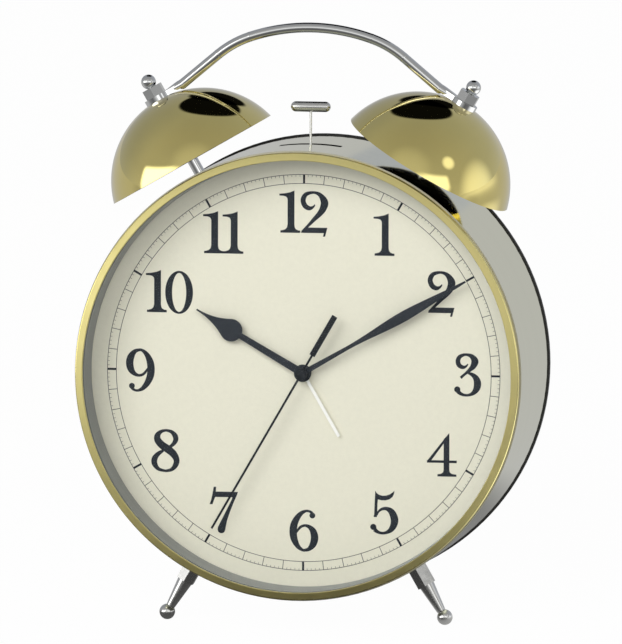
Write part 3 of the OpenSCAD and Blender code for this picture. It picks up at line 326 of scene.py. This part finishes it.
def strip(bm, left, right, front, back, closed=False):
    """A ribbon between two rows of x and z, filling the depths from front to back."""
    rows = [[bm.verts.new((x, y, z)) for x, z in row] for row in (left, right) for y in (front, back)]
    left_near, left_far, right_near, right_far = rows
    count = len(left)
    for i in range(count if closed else count - 1):
        k = (i + 1) % count
        bm.faces.new((left_near[i], left_near[k], right_near[k], right_near[i]))
        bm.faces.new((left_far[i], right_far[i], right_far[k], left_far[k]))
        bm.faces.new((left_near[i], left_far[i], left_far[k], left_near[k]))
        bm.faces.new((right_near[i], right_near[k], right_far[k], right_far[i]))
    if not closed:
        for i in (0, count - 1):
            bm.faces.new((left_near[i], right_near[i], right_far[i], left_far[i]))


def ring(bm, centre, outer, inner, front, back, steps):
    """A flat ring between two ellipses."""
    def ellipse(radii):
        return [(centre[0] + radii[0] * math.cos(2 * math.pi * i / steps),
                 centre[1] + radii[1] * math.sin(2 * math.pi * i / steps)) for i in range(steps)]
    strip(bm, ellipse(outer), ellipse(inner), front, back, closed=True)


def spline(points, steps=7):
    """A smooth curve through points of any length, by Catmull-Rom."""
    ends = [points[0]] + list(points) + [points[-1]]
    out = []
    for i in range(1, len(ends) - 2):
        a, b, c, d = ends[i - 1:i + 3]
        for k in range(steps):
            t = k / steps
            out.append(tuple(
                0.5 * (2 * q + (r - p) * t + (2 * p - 5 * q + 4 * r - s) * t ** 2 + (3 * q - p - 3 * r + s) * t ** 3)
                for p, q, r, s in zip(a, b, c, d)))
    out.append(tuple(points[-1]))
    return out


def brush(bm, points, front, back):
    """A pen stroke through points of x, z and width."""
    path = spline(points)
    left, right = [], []
    for i, (x, z, w) in enumerate(path):
        before, after = path[max(0, i - 1)], path[min(len(path) - 1, i + 1)]
        dx, dz = after[0] - before[0], after[1] - before[1]
        size = math.hypot(dx, dz)
        nx, nz = -dz / size * w / 2, dx / size * w / 2
        left.append((x + nx, z + nz))
        right.append((x - nx, z - nz))
    strip(bm, left, right, front, back)


def turned(bm, profile, steps):
    """A closed profile of radius and depth, turned round the case axis."""
    rows = [[bm.verts.new((r * math.cos(2 * math.pi * i / steps), y, r * math.sin(2 * math.pi * i / steps)))
             for i in range(steps)] for r, y in profile]
    for a, b in zip(rows, rows[1:] + rows[:1]):
        for i in range(steps):
            k = (i + 1) % steps
            bm.faces.new((a[i], a[k], b[k], b[i]))


def smooth(obj, sharp_deg):
    """Smooth shading, kept sharp at edges over this angle."""
    obj.data.shade_smooth()
    obj.data.set_sharp_from_angle(angle=math.radians(sharp_deg))


TURN_STEPS, TURN_SHARP = 360, 15

# The bezel's face slopes back to its rounded outer edge, which is polished
BEZEL_IN, BEZEL_OUT = 96.9, 100.4
BEZEL_SLOPE = math.radians(20)
BEZEL_EDGE, BEZEL_ROUND = 0.25, 0.7
# The first row of faces on the round, and their count; the row behind them is polished too
EDGE_ROW, EDGE_STEPS = 3, 6
LIP_Y = 1.5
SPIGOT_OUT, SPIGOT_IN, SPIGOT_BACK = 99.6, 98.7, 9.0
round_r = BEZEL_OUT - BEZEL_ROUND
slope_end = round_r + BEZEL_ROUND * math.sin(BEZEL_SLOPE)
round_y = (slope_end - BEZEL_IN - BEZEL_EDGE) * math.tan(BEZEL_SLOPE) + BEZEL_ROUND * math.cos(BEZEL_SLOPE)
edge = [BEZEL_SLOPE + (math.pi / 2 - BEZEL_SLOPE) * i / EDGE_STEPS for i in range(EDGE_STEPS + 1)]
bm = bmesh.new()
turned(bm, [(BEZEL_IN, LIP_Y), (BEZEL_IN, BEZEL_EDGE), (BEZEL_IN + BEZEL_EDGE, 0)]
       + [(round_r + BEZEL_ROUND * math.sin(a), round_y - BEZEL_ROUND * math.cos(a)) for a in edge]
       + [(BEZEL_OUT, BAND_FRONT_Y), (SPIGOT_OUT, BAND_FRONT_Y), (SPIGOT_OUT, SPIGOT_BACK),
          (SPIGOT_IN, SPIGOT_BACK), (SPIGOT_IN, LIP_Y)], TURN_STEPS)
bezel = piece("bezel_ring", bm, GOLD_BEZEL, "case")
smooth(bezel, TURN_SHARP)
bezel.data.materials.append(GOLD_EDGE)
for face in bezel.data.polygons:
    face.material_index = int(EDGE_ROW <= face.index // TURN_STEPS <= EDGE_ROW + EDGE_STEPS)
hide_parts("bezel")

# The grey ring behind the lens narrows a little towards the dial, with a shadow gap at its foot
LENS_BACK_Y, LENS_R = 3.5, 98.5
RING_FRONT, RING_FOOT, RING_WALL = 96.7, 96.0, 1.4
FLANGE, GAP_H, GAP_DEEP = 1.5, 1.0, 0.9
bm = bmesh.new()
turned(bm, [(RING_FRONT, LENS_BACK_Y), (LENS_R, LENS_BACK_Y), (LENS_R, LENS_BACK_Y + FLANGE),
            (RING_FRONT + RING_WALL, LENS_BACK_Y + FLANGE), (RING_FOOT + RING_WALL, DIAL_Y - FLANGE),
            (LENS_R, DIAL_Y - FLANGE), (LENS_R, DIAL_Y), (RING_FOOT + GAP_DEEP, DIAL_Y),
            (RING_FOOT + GAP_DEEP, DIAL_Y - GAP_H), (RING_FOOT, DIAL_Y - GAP_H)], TURN_STEPS)
wall = piece("ring_wall", bm, RING, "case")
smooth(wall, TURN_SHARP)
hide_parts("inner_ring")

# The hammer's head, round at both ends
HEAD_R, HEAD_LEN, HEAD_Y, HEAD_Z = 2.35, 18.0, 38.2, 117.75
HEAD_STEPS, HEAD_ROWS, HEAD_SHARP = 48, 15, 40
bm = bmesh.new()
bmesh.ops.create_uvsphere(bm, u_segments=HEAD_STEPS, v_segments=HEAD_ROWS, radius=HEAD_R)
for vert in bm.verts:
    across, along, out = vert.co
    vert.co = (out + math.copysign(HEAD_LEN / 2 - HEAD_R, out), HEAD_Y + across, HEAD_Z + along)
head = piece("hammer_bar", bm, SATIN, "hammer")
smooth(head, HEAD_SHARP)
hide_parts("hammer_head")

# The end of the minute hand, which reaches the track
MINUTE_TURN, MINUTE_FRONT, MINUTE_BACK = math.radians(60), 15.75, 16.25
TIP_FROM, TIP_TO, TIP_WIDE, TIP_NARROW = 79.0, 85.2, 1.6, 0.9
bm = bmesh.new()
prism(bm, [(r * math.sin(MINUTE_TURN) + w / 2 * math.cos(MINUTE_TURN),
            r * math.cos(MINUTE_TURN) - w / 2 * math.sin(MINUTE_TURN))
           for r, w in ((TIP_FROM, -TIP_WIDE), (TIP_TO, -TIP_NARROW), (TIP_TO, TIP_NARROW), (TIP_FROM, TIP_WIDE))],
      MINUTE_FRONT, MINUTE_BACK)
piece("minute_tip", bm, HAND, "minute")

# The numbers, drawn with a broad pen on a grid of small units, y down from the top of a square cell
CELL_MID = 189
UNIT = 0.0637
# The figures were read off the photo, where the turn of the camera narrows them
NARROWED = 0.9864
UNIT_X = UNIT / NARROWED
PEN_SPREAD = 3
INK_T = 0.05
INK_STEP = 0.004
DISC_STEP_DEG, NOUGHT_STEPS = 12, 72

ONE = [(236, 29), (236, 270), (239, 290), (247, 302), (261, 309), (277, 311), (277, 327), (138, 327), (138, 311),
       (155, 309), (172, 303), (183, 291), (188, 270), (188, 95), (185, 82), (177, 73), (162, 68), (130, 66),
       (130, 53), (165, 50), (205, 42)]
SIX = [("brush", [(250, 76, 20), (240, 60, 17), (222, 51, 14), (200, 51, 16), (170, 66, 27), (140, 101, 39),
                  (118, 150, 48), (113, 205, 50), (122, 255, 44), (146, 300, 30), (175, 324, 18), (196, 329, 15)]),
       ("disc", (247, 81, 19)),
       ("brush", [(185, 328, 15), (222, 319, 25), (251, 286, 44), (263, 240, 50), (254, 195, 44), (231, 166, 28),
                  (201, 153, 17), (172, 159, 16), (152, 177, 15), (136, 202, 8)])]
GLYPHS = {
    "0": [("ring", (252.5, 178.5, 97.5, 151.5, 49.5, 137))],
    "1": [("fill", ONE)],
    "2": [("brush", [(190, 128, 5), (175, 146, 14), (149, 154, 28), (121, 138, 33), (107, 105, 33), (113, 75, 31),
                     (135, 52, 24), (184, 43, 16), (226, 60, 28), (256, 108, 50), (248, 152, 46), (224, 190, 36),
                     (186, 230, 26), (149, 270, 18), (119, 300, 14), (99, 322, 13)]),
          ("fill", [(132, 290), (277, 290), (261, 353), (246, 353), (252, 328), (92, 328), (98, 316)])],
    "3": [("brush", [(189, 104, 5), (174, 121, 13), (152, 127, 24), (127, 113, 30), (118, 85, 30), (128, 58, 27),
                     (152, 42, 20), (182, 38, 16), (215, 50, 30), (237, 82, 48), (226, 118, 38), (205, 142, 26),
                     (178, 166, 17), (155, 186, 15), (138, 202, 18)]),
          ("brush", [(186, 165, 10), (222, 180, 26), (246, 205, 40), (256, 238, 49), (250, 275, 44), (228, 306, 28),
                     (196, 322, 16), (160, 322, 17), (130, 308, 24), (115, 288, 32)]),
          ("disc", (114, 284, 20))],
    "4": [("fill", [(200, 70), (240, 31), (240, 288), (244, 304), (258, 315), (290, 319), (290, 334), (157, 334),
                    (157, 319), (182, 315), (196, 304), (200, 288)]),
          ("fill", [(229, 38), (236, 30), (240, 31), (240, 46), (113, 222), (83, 226)]),
          ("fill", [(83, 220), (292, 220), (292, 238), (83, 238)])],
    "5": [("fill", [(127, 27), (138, 44), (155, 56), (178, 62), (205, 60), (230, 51), (250, 36), (262, 25), (259, 47),
                    (248, 69), (228, 86), (200, 94), (170, 94), (146, 88), (143, 120), (142, 180), (141, 206),
                    (137, 214), (118, 213), (116, 206), (120, 196), (123, 120)]),
          ("brush", [(139, 199, 8), (150, 175, 12), (175, 156, 17), (208, 153, 24), (242, 175, 42), (262, 222, 51),
                     (258, 265, 46), (238, 300, 34), (208, 320, 20), (176, 326, 16), (146, 318, 20), (122, 300, 30)]),
          ("disc", (114, 283, 20))],
    "6": SIX,
    "7": [("fill", [(130, 36), (147, 36), (146, 55), (141, 108), (132, 130), (122, 160), (101, 160), (112, 130),
                    (123, 80)]),
          ("fill", [(123, 70), (300, 70), (296, 84), (284, 108), (123, 108)]),
          ("fill", [(300, 71), (292, 95), (268, 150), (245, 210), (225, 270), (215, 318), (212, 338), (206, 354),
                    (193, 363), (178, 363), (164, 355), (158, 340), (160, 322), (175, 290), (200, 240), (230, 180),
                    (258, 122), (262, 104)])],
    "8": [("brush", [(192, 38, 14), (155, 48, 22), (130, 75, 38), (131, 108, 46), (160, 143, 50), (200, 170, 52),
                     (240, 203, 48), (263, 245, 40), (255, 285, 34), (228, 315, 22), (184, 326, 15)]),
          ("brush", [(186, 38, 14), (226, 48, 22), (252, 75, 34), (257, 105, 33), (240, 135, 24), (212, 158, 16)]),
          ("brush", [(170, 182, 16), (134, 206, 28), (109, 240, 38), (110, 278, 36), (138, 313, 22),
                     (190, 326, 15)])],
}
NINE_X, NINE_Y, NINE_TALL = 372, 389, 1.035
GLYPHS["9"] = [(kind, [(NINE_X - x, NINE_Y - NINE_TALL * y, w) for x, y, w in data] if kind == "brush"
                else (NINE_X - data[0], NINE_Y - NINE_TALL * data[1], data[2])) for kind, data in SIX]

# Each number: the middle of its cell on the dial, and the shift of each of its figures on the grid
NUMBERS = {
    12: ((0, 71.6), [("1", -114, 2), ("2", 76, 0)]),
    1: ((35.3, 61.9), [("1", 0, 0)]),
    2: ((62.5, 36.8), [("2", 0, 0)]),
    3: ((74.4, -0.15), [("3", 0, 0)]),
    4: ((62.8, -36.2), [("4", 0, 0)]),
    5: ((36.6, -62.7), [("5", 0, 0)]),
    6: ((0.4, -71), [("6", 0, 0)]),
    7: ((-36.8, -61.8), [("7", 0, 0)]),
    8: ((-62.3, -36.7), [("8", 0, 0)]),
    9: ((-73.7, 0), [("9", 0, 0)]),
    10: ((-60.6, 34.3), [("1", -111, -6), ("0", 0, 0)]),
    11: ((-36.7, 61.6), [("1", -81, 0), ("1", 56, 0)]),
}


def on_dial(middle, shift, x, y):
    """A point of a figure's grid, on the dial."""
    return middle[0] + (x + shift[0] - CELL_MID) * UNIT_X, middle[1] - (y + shift[1] - CELL_MID) * UNIT


def draw_number(number):
    """One number in ink, each stroke a hair behind the last so that no faces coincide."""
    middle, figures = NUMBERS[number]
    bm = bmesh.new()
    layer = 0
    for figure, *shift in figures:
        for kind, data in GLYPHS[figure]:
            front, back = DIAL_Y - INK_T + layer * INK_STEP, DIAL_Y
            layer += 1
            if kind == "fill":
                prism(bm, [on_dial(middle, shift, x, y) for x, y in data], front, back)
            elif kind == "brush":
                brush(bm, [(*on_dial(middle, shift, x, y), (w + PEN_SPREAD) * UNIT) for x, y, w in data], front, back)
            elif kind == "disc":
                x, y, r = data
                r += PEN_SPREAD / 2
                centre = on_dial(middle, shift, x, y)
                prism(bm, [(centre[0] + r * UNIT_X * math.cos(math.radians(a)),
                            centre[1] + r * UNIT * math.sin(math.radians(a)))
                           for a in range(0, 360, DISC_STEP_DEG)], front, back)
            else:
                x, y, rx, ry, hole_x, hole_y = data
                ring(bm, on_dial(middle, shift, x, y), (rx * UNIT_X, ry * UNIT), (hole_x * UNIT_X, hole_y * UNIT),
                     front, back, NOUGHT_STEPS)
    piece(f"number_{number:02d}", bm, INK, "case")


for number in NUMBERS:
    draw_number(number)

# The minute track: two circles, a mark for each minute, a bold one every five, fine ones between
TRACK_OUT, TRACK_IN = 88.9, 84.9
LINE_W, MARK_W, BOLD_W = 0.28, 0.3, 0.95
FINE_W, FINE_LEN = 0.17, 0.95
TRACK_STEPS = 360
HOUR_DEG, MINUTE_DEG, FIFTH_DEG = 30, 6, 1.2


def mark(bm, turn_deg, r0, r1, width, front):
    """A straight mark on the dial, at an angle from twelve."""
    c, s = math.cos(math.radians(turn_deg)), math.sin(math.radians(turn_deg))
    prism(bm, [(r * s + side * width / 2 * c, r * c - side * width / 2 * s)
               for r, side in ((r0, -1), (r1, -1), (r1, 1), (r0, 1))], front, DIAL_Y)


bm = bmesh.new()
for r in (TRACK_OUT, TRACK_IN):
    ring(bm, (0, 0), (r + LINE_W / 2,) * 2, (r - LINE_W / 2,) * 2, DIAL_Y - INK_T, DIAL_Y, TRACK_STEPS)
for minute in range(60):
    if minute % 5:
        mark(bm, minute * MINUTE_DEG, TRACK_IN, TRACK_OUT, MARK_W, DIAL_Y - INK_T + INK_STEP)
    for fifth in range(1, 5):
        mark(bm, minute * MINUTE_DEG + fifth * FIFTH_DEG, TRACK_OUT - FINE_LEN, TRACK_OUT, FINE_W,
             DIAL_Y - INK_T + INK_STEP)
piece("minute_track", bm, FINE_INK, "case")
bm = bmesh.new()
for hour in range(12):
    mark(bm, hour * HOUR_DEG, TRACK_IN, TRACK_OUT, BOLD_W, DIAL_Y - INK_T - INK_STEP)
piece("hour_marks", bm, INK, "case")

# Painted shade of the cross recesses in the cover's screw heads: a thin dark cross laid on the back of each head
RECESS_W, RECESS_L, RECESS_T = 0.7, 3.2, 0.06
w, h = RECESS_W / 2, RECESS_L / 2
head_top = RIM_BACK_Y + SCREW_HEAD_H
bm = bmesh.new()
for angle in PILLAR_ANGLES:
    x0, z0 = (PILLAR_AT * f(math.radians(angle)) for f in (math.cos, math.sin))
    prism(bm, [(x0 + x, z0 + z) for x, z in (
        (-w, -h), (w, -h), (w, -w), (h, -w), (h, w), (w, w), (w, h), (-w, h), (-w, w), (-h, w), (-h, -w), (-w, -w))],
        head_top, head_top + RECESS_T)
piece("screw_recess_shade", bm, RECESS_SHADE, "case")

# Floor, light and camera

FLOOR_SIZE = 8.0
BACKDROP_RAYS = ("Is Camera Ray", "Is Glossy Ray", "Is Transmission Ray")


def ramp_of(tree, socket, stops):
    """Grey levels along a value from 0 to 1."""
    ramp = add(tree, "ShaderNodeValToRGB")
    elements = ramp.color_ramp.elements
    while len(elements) < len(stops):
        elements.new(0.5)
    for element, (at, level) in zip(elements, stops):
        element.position = at
        element.color = (level, level, level, 1)
    tree.links.new(socket, ramp.inputs["Fac"])
    return ramp.outputs["Color"]


def stage_piece(name, bm, material):
    """A mesh in metres that belongs to the stage, not to the clock."""
    mesh = bpy.data.meshes.new(name)
    bm.to_mesh(mesh)
    bm.free()
    obj = bpy.data.objects.new(name, mesh)
    mesh.materials.append(material)
    bpy.context.scene.collection.objects.link(obj)
    return obj


# The floor is white to the eye and keeps a faint shadow
FLOOR_GLOW = 0.98
FLOOR_GREY, FLOOR_ROUGH, FLOOR_DROP = srgb(232, 232, 232), 0.8, 0.0001
mat, tree, bsdf = new_material("floor")
bsdf.inputs["Base Color"].default_value = FLOOR_GREY
bsdf.inputs["Roughness"].default_value = FLOOR_ROUGH
bsdf.inputs["Specular IOR Level"].default_value = 0.0
glow = add(tree, "ShaderNodeEmission", Color=WHITE, Strength=1.0)
share = add(tree, "ShaderNodeMath", operation="MULTIPLY")
share.inputs[1].default_value = FLOOR_GLOW
tree.links.new(seen_by(tree, *BACKDROP_RAYS), share.inputs[0])
mixed = mix_shaders(tree, share.outputs["Value"], bsdf.outputs["BSDF"], glow.outputs["Emission"])
tree.links.new(mixed, tree.nodes["Material Output"].inputs["Surface"])
bm = bmesh.new()
bmesh.ops.create_grid(bm, x_segments=1, y_segments=1, size=FLOOR_SIZE / 2)
stage_piece("floor", bm, mat).location.z = -FLOOR_DROP

# The world: white to the eye, plain light on the object
WORLD_LIGHT = 0.19
world = bpy.data.worlds.new("studio")
bpy.context.scene.world = world
world.use_nodes = True
world.cycles.sampling_method = "NONE"
tree = world.node_tree
tree.nodes.clear()
light = add(tree, "ShaderNodeBackground", Color=WHITE, Strength=WORLD_LIGHT)
white = add(tree, "ShaderNodeBackground", Color=WHITE, Strength=1.0)
mixed = mix_shaders(tree, seen_by(tree, *BACKDROP_RAYS), light.outputs["Background"], white.outputs["Background"])
tree.links.new(mixed, add(tree, "ShaderNodeOutputWorld").inputs["Surface"])

# The studio that the metal mirrors: grey walls with bright and dark panels, and a floor that is dark in front.
# Directions are degrees to the right of straight in front, and degrees up.
STUDIO_R = 6.0
DOME_STEPS, DOME_ROWS = 64, 32
WALLS = ((0.0, 0.5), (0.5, 0.5), (0.63, 0.44), (0.79, 0.42), (0.91, 0.38), (1.0, 0.35))
FLOOR_IN_METAL = ((0.0, 0.13), (0.25, 0.25), (0.5, 0.5), (1.0, 0.5))
# Boxes: from and to, from and to upwards at the middle, rise along the box, half width of the soft edge, level
SOFTBOXES = ((-75, -22, 6, 27, 0.32, 3, 2.1), (-22, 10, 16, 30, 0, 6, 0.5), (10, 51, 13, 28.5, -0.26, 3, 1.05))
DARK_FRONT = (-52, 52, -40, 6, 0, 8, 0.6)
# Round ones: middle, inner and outer half widths, level; the dark ones scale what is there
GLOWS = ((90, -1, 4, 30, 0.57), (60, 37, 3, 9, 0.8), (-5, 36, 4, 34, 0.15))
DARK_ROUNDS = ((181, 53, 20, 22.5, 0.01), (181, 32, 13, 15.5, 0.01), (-140, 12, 5, 60, 0.78))
# Sheens on the floor: middle, inner and outer half widths, level outside and inside
FLOOR_SHEEN = (92, 0, 5, 40, 0, 0.45)
SIDE_SHEEN = (88, 0, 12, 48, 0, 1.0)
# Distances on the floor, in metres, over which the two sheens fade in
FAR_OFF, NEAR_BY = (0.7, 2.2), (0.7, 0.3)
# The clock darkens the floor under it: the distances, then the levels there
CLOCK_SHADOW = (0.112, 0.178, 0.45, 1)
# What lies behind the clock is a little cooler
BEHIND_FROM, BEHIND_TO = 0.4, 0.7
BEHIND_TINT = (0.95, 0.985, 1.07, 1)


def metal_only(obj):
    """Seen in polished metal and nowhere else."""
    obj.visible_camera = obj.visible_diffuse = obj.visible_transmission = obj.visible_shadow = False


def mirrored(name):
    """A material that glows, and the direction in which it is seen from the middle of the floor."""
    mat = bpy.data.materials.new(name)
    mat.use_nodes = True
    mat.cycles.emission_sampling = "NONE"
    tree = mat.node_tree
    tree.nodes.clear()
    glow = add(tree, "ShaderNodeEmission", Color=WHITE)
    tree.links.new(glow.outputs["Emission"], add(tree, "ShaderNodeOutputMaterial").inputs["Surface"])
    coord = add(tree, "ShaderNodeTexCoord")
    along = add(tree, "ShaderNodeVectorMath", operation="NORMALIZE")
    tree.links.new(coord.outputs["Object"], along.inputs[0])
    axes = add(tree, "ShaderNodeSeparateXYZ")
    tree.links.new(along.outputs["Vector"], axes.inputs["Vector"])
    return mat, tree, glow, along.outputs["Vector"], axes


def from_minus_one(tree, socket):
    """A value from -1 to 1, as 0 to 1."""
    return map_range(tree, socket, -1, 1, 0, 1)


def fade(tree, socket, nothing_at, full_at, nothing, full):
    """A smooth step between two levels of a value."""
    return map_range(tree, socket, nothing_at, full_at, nothing, full, "SMOOTHSTEP")


def round_panel(tree, along, azimuth, rise, inner, outer, nothing, full):
    """A level round a direction in degrees, fading between the inner and the outer half width."""
    a, e = math.radians(azimuth), math.radians(rise)
    dot = add(tree, "ShaderNodeVectorMath", operation="DOT_PRODUCT")
    dot.inputs[1].default_value = (math.sin(a) * math.cos(e), -math.cos(a) * math.cos(e), math.sin(e))
    tree.links.new(along, dot.inputs[0])
    return fade(tree, dot.outputs["Value"], math.cos(math.radians(outer)), math.cos(math.radians(inner)),
                nothing, full)


def between(tree, socket, low, high, soft, full):
    """A level between two angles in degrees, fading to nothing outside."""
    shift = add(tree, "ShaderNodeMath", operation="SUBTRACT")
    shift.inputs[1].default_value = math.radians((low + high) / 2)
    tree.links.new(socket, shift.inputs[0])
    away = add(tree, "ShaderNodeMath", operation="ABSOLUTE")
    tree.links.new(shift.outputs["Value"], away.inputs[0])
    half = (high - low) / 2
    return fade(tree, away.outputs["Value"], math.radians(half + soft), math.radians(half - soft), 0, full)


mat, tree, glow, along, axes = mirrored("studio_walls")
ahead = add(tree, "ShaderNodeMath", operation="MULTIPLY")
ahead.inputs[1].default_value = -1
tree.links.new(axes.outputs["Y"], ahead.inputs[0])
turn_to = combine(tree, "ARCTAN2", axes.outputs["X"], ahead.outputs["Value"])
rise_to = add(tree, "ShaderNodeMath", operation="ARCSINE")
tree.links.new(axes.outputs["Z"], rise_to.inputs[0])


def box_panel(left, right, low, high, slant, soft, full):
    """A level in a box of directions on the walls, which may slant."""
    level_rise = add(tree, "ShaderNodeMath", operation="MULTIPLY_ADD")
    level_rise.inputs[1].default_value = -slant
    tree.links.new(turn_to, level_rise.inputs[0])
    tree.links.new(rise_to.outputs["Value"], level_rise.inputs[2])
    drop = slant * (left + right) / 2
    return combine(tree, "MULTIPLY", between(tree, turn_to, left, right, soft, full),
                   between(tree, level_rise.outputs["Value"], low - drop, high - drop, soft, 1))


lit = add(tree, "ShaderNodeMath", operation="SUBTRACT")
lit.inputs[0].default_value = 1
tree.links.new(box_panel(*DARK_FRONT), lit.inputs[1])
walls = ramp_of(tree, from_minus_one(tree, axes.outputs["Z"]), WALLS)
studio = combine(tree, "MULTIPLY", walls, lit.outputs["Value"])
for box in SOFTBOXES:
    studio = combine(tree, "ADD", studio, box_panel(*box))
for azimuth, rise, inner, outer, level in GLOWS:
    studio = combine(tree, "ADD", studio, round_panel(tree, along, azimuth, rise, inner, outer, 0, level))
for azimuth, rise, inner, outer, level in DARK_ROUNDS:
    studio = combine(tree, "MULTIPLY", studio, round_panel(tree, along, azimuth, rise, inner, outer, 1, level))
tree.links.new(studio, glow.inputs["Strength"])
tint = add(tree, "ShaderNodeValToRGB")
tint.color_ramp.elements[0].position = BEHIND_FROM
tint.color_ramp.elements[0].color = WHITE
tint.color_ramp.elements[1].position = BEHIND_TO
tint.color_ramp.elements[1].color = BEHIND_TINT
tree.links.new(from_minus_one(tree, axes.outputs["Y"]), tint.inputs["Fac"])
tree.links.new(tint.outputs["Color"], glow.inputs["Color"])
bm = bmesh.new()
bmesh.ops.create_uvsphere(bm, u_segments=DOME_STEPS, v_segments=DOME_ROWS, radius=STUDIO_R)
metal_only(stage_piece("dome", bm, mat))

mat, tree, glow, along, axes = mirrored("studio_floor")
coord = add(tree, "ShaderNodeTexCoord")
distance = add(tree, "ShaderNodeVectorMath", operation="LENGTH")
tree.links.new(coord.outputs["Object"], distance.inputs[0])
far_off = fade(tree, distance.outputs["Value"], *FAR_OFF, 0, 1)
near_by = fade(tree, distance.outputs["Value"], *NEAR_BY, 0, 1)
sheen = combine(tree, "MULTIPLY", far_off, round_panel(tree, along, *FLOOR_SHEEN))
side = combine(tree, "MULTIPLY", near_by, round_panel(tree, along, *SIDE_SHEEN))
level = combine(tree, "ADD", ramp_of(tree, from_minus_one(tree, axes.outputs["Y"]), FLOOR_IN_METAL), sheen)
level = combine(tree, "ADD", level, side)
level = combine(tree, "MULTIPLY", level, fade(tree, distance.outputs["Value"], *CLOCK_SHADOW))
tree.links.new(level, glow.inputs["Strength"])
bm = bmesh.new()
bmesh.ops.create_grid(bm, x_segments=1, y_segments=1, size=FLOOR_SIZE / 2)
metal_only(stage_piece("card_floor", bm, mat))

# Two soft lamps, both aimed at the clock
LAMP_AIM = (0, 0, 0.12)


def area_lamp(name, place, size, power):
    """A round soft lamp, in metres and watts, which metal does not mirror."""
    data = bpy.data.lights.new(name, "AREA")
    data.shape = "DISK"
    data.size = size
    data.energy = power
    lamp = bpy.data.objects.new(name, data)
    lamp.location = place
    lamp.rotation_mode = "QUATERNION"
    lamp.rotation_quaternion = (Vector(LAMP_AIM) - Vector(place)).to_track_quat("-Z", "Y")
    lamp.visible_glossy = False
    bpy.context.scene.collection.objects.link(lamp)


area_lamp("key", place=(-1.15, -1.67, 1.62), size=1.9, power=36.5)
area_lamp("fill", place=(0.6, -1.9, 1.45), size=1.6, power=17.5)

# The camera, as the photograph shows the clock
IMAGE_W, IMAGE_H = 622, 644
YAW, RISE, ROLL = math.radians(9.45), math.radians(5.7), math.radians(0.15)
PX_PER_MM = 2.2414
BEZEL_PX = (296.07, 377.15)
DISTANCE = 13.0
SENSOR, FAR_CLIP = 36.0, 100
right = Vector((math.cos(YAW), math.sin(YAW), 0))
up = Vector((-math.sin(YAW) * math.sin(RISE), math.cos(YAW) * math.sin(RISE), math.cos(RISE)))
toward = right.cross(up)
right, up = right + ROLL * up, up - ROLL * right
aim = right * ((IMAGE_W / 2 - BEZEL_PX[0]) / PX_PER_MM) + up * ((BEZEL_PX[1] - IMAGE_H / 2) / PX_PER_MM)
data = bpy.data.cameras.new("camera")
data.sensor_width = SENSOR
data.lens = SENSOR * DISTANCE / (IMAGE_H / PX_PER_MM * MM)
data.clip_end = FAR_CLIP
camera = bpy.data.objects.new("camera", data)
facing = CASE.to_3x3() @ Matrix((right.normalized(), up.normalized(), toward)).transposed()
camera.matrix_world = Matrix.Translation(CASE @ (aim * MM) + facing.col[2] * DISTANCE) @ facing.to_4x4()
bpy.context.scene.collection.objects.link(camera)
bpy.context.scene.camera = camera
bpy.context.scene.view_settings.view_transform = "Standard"
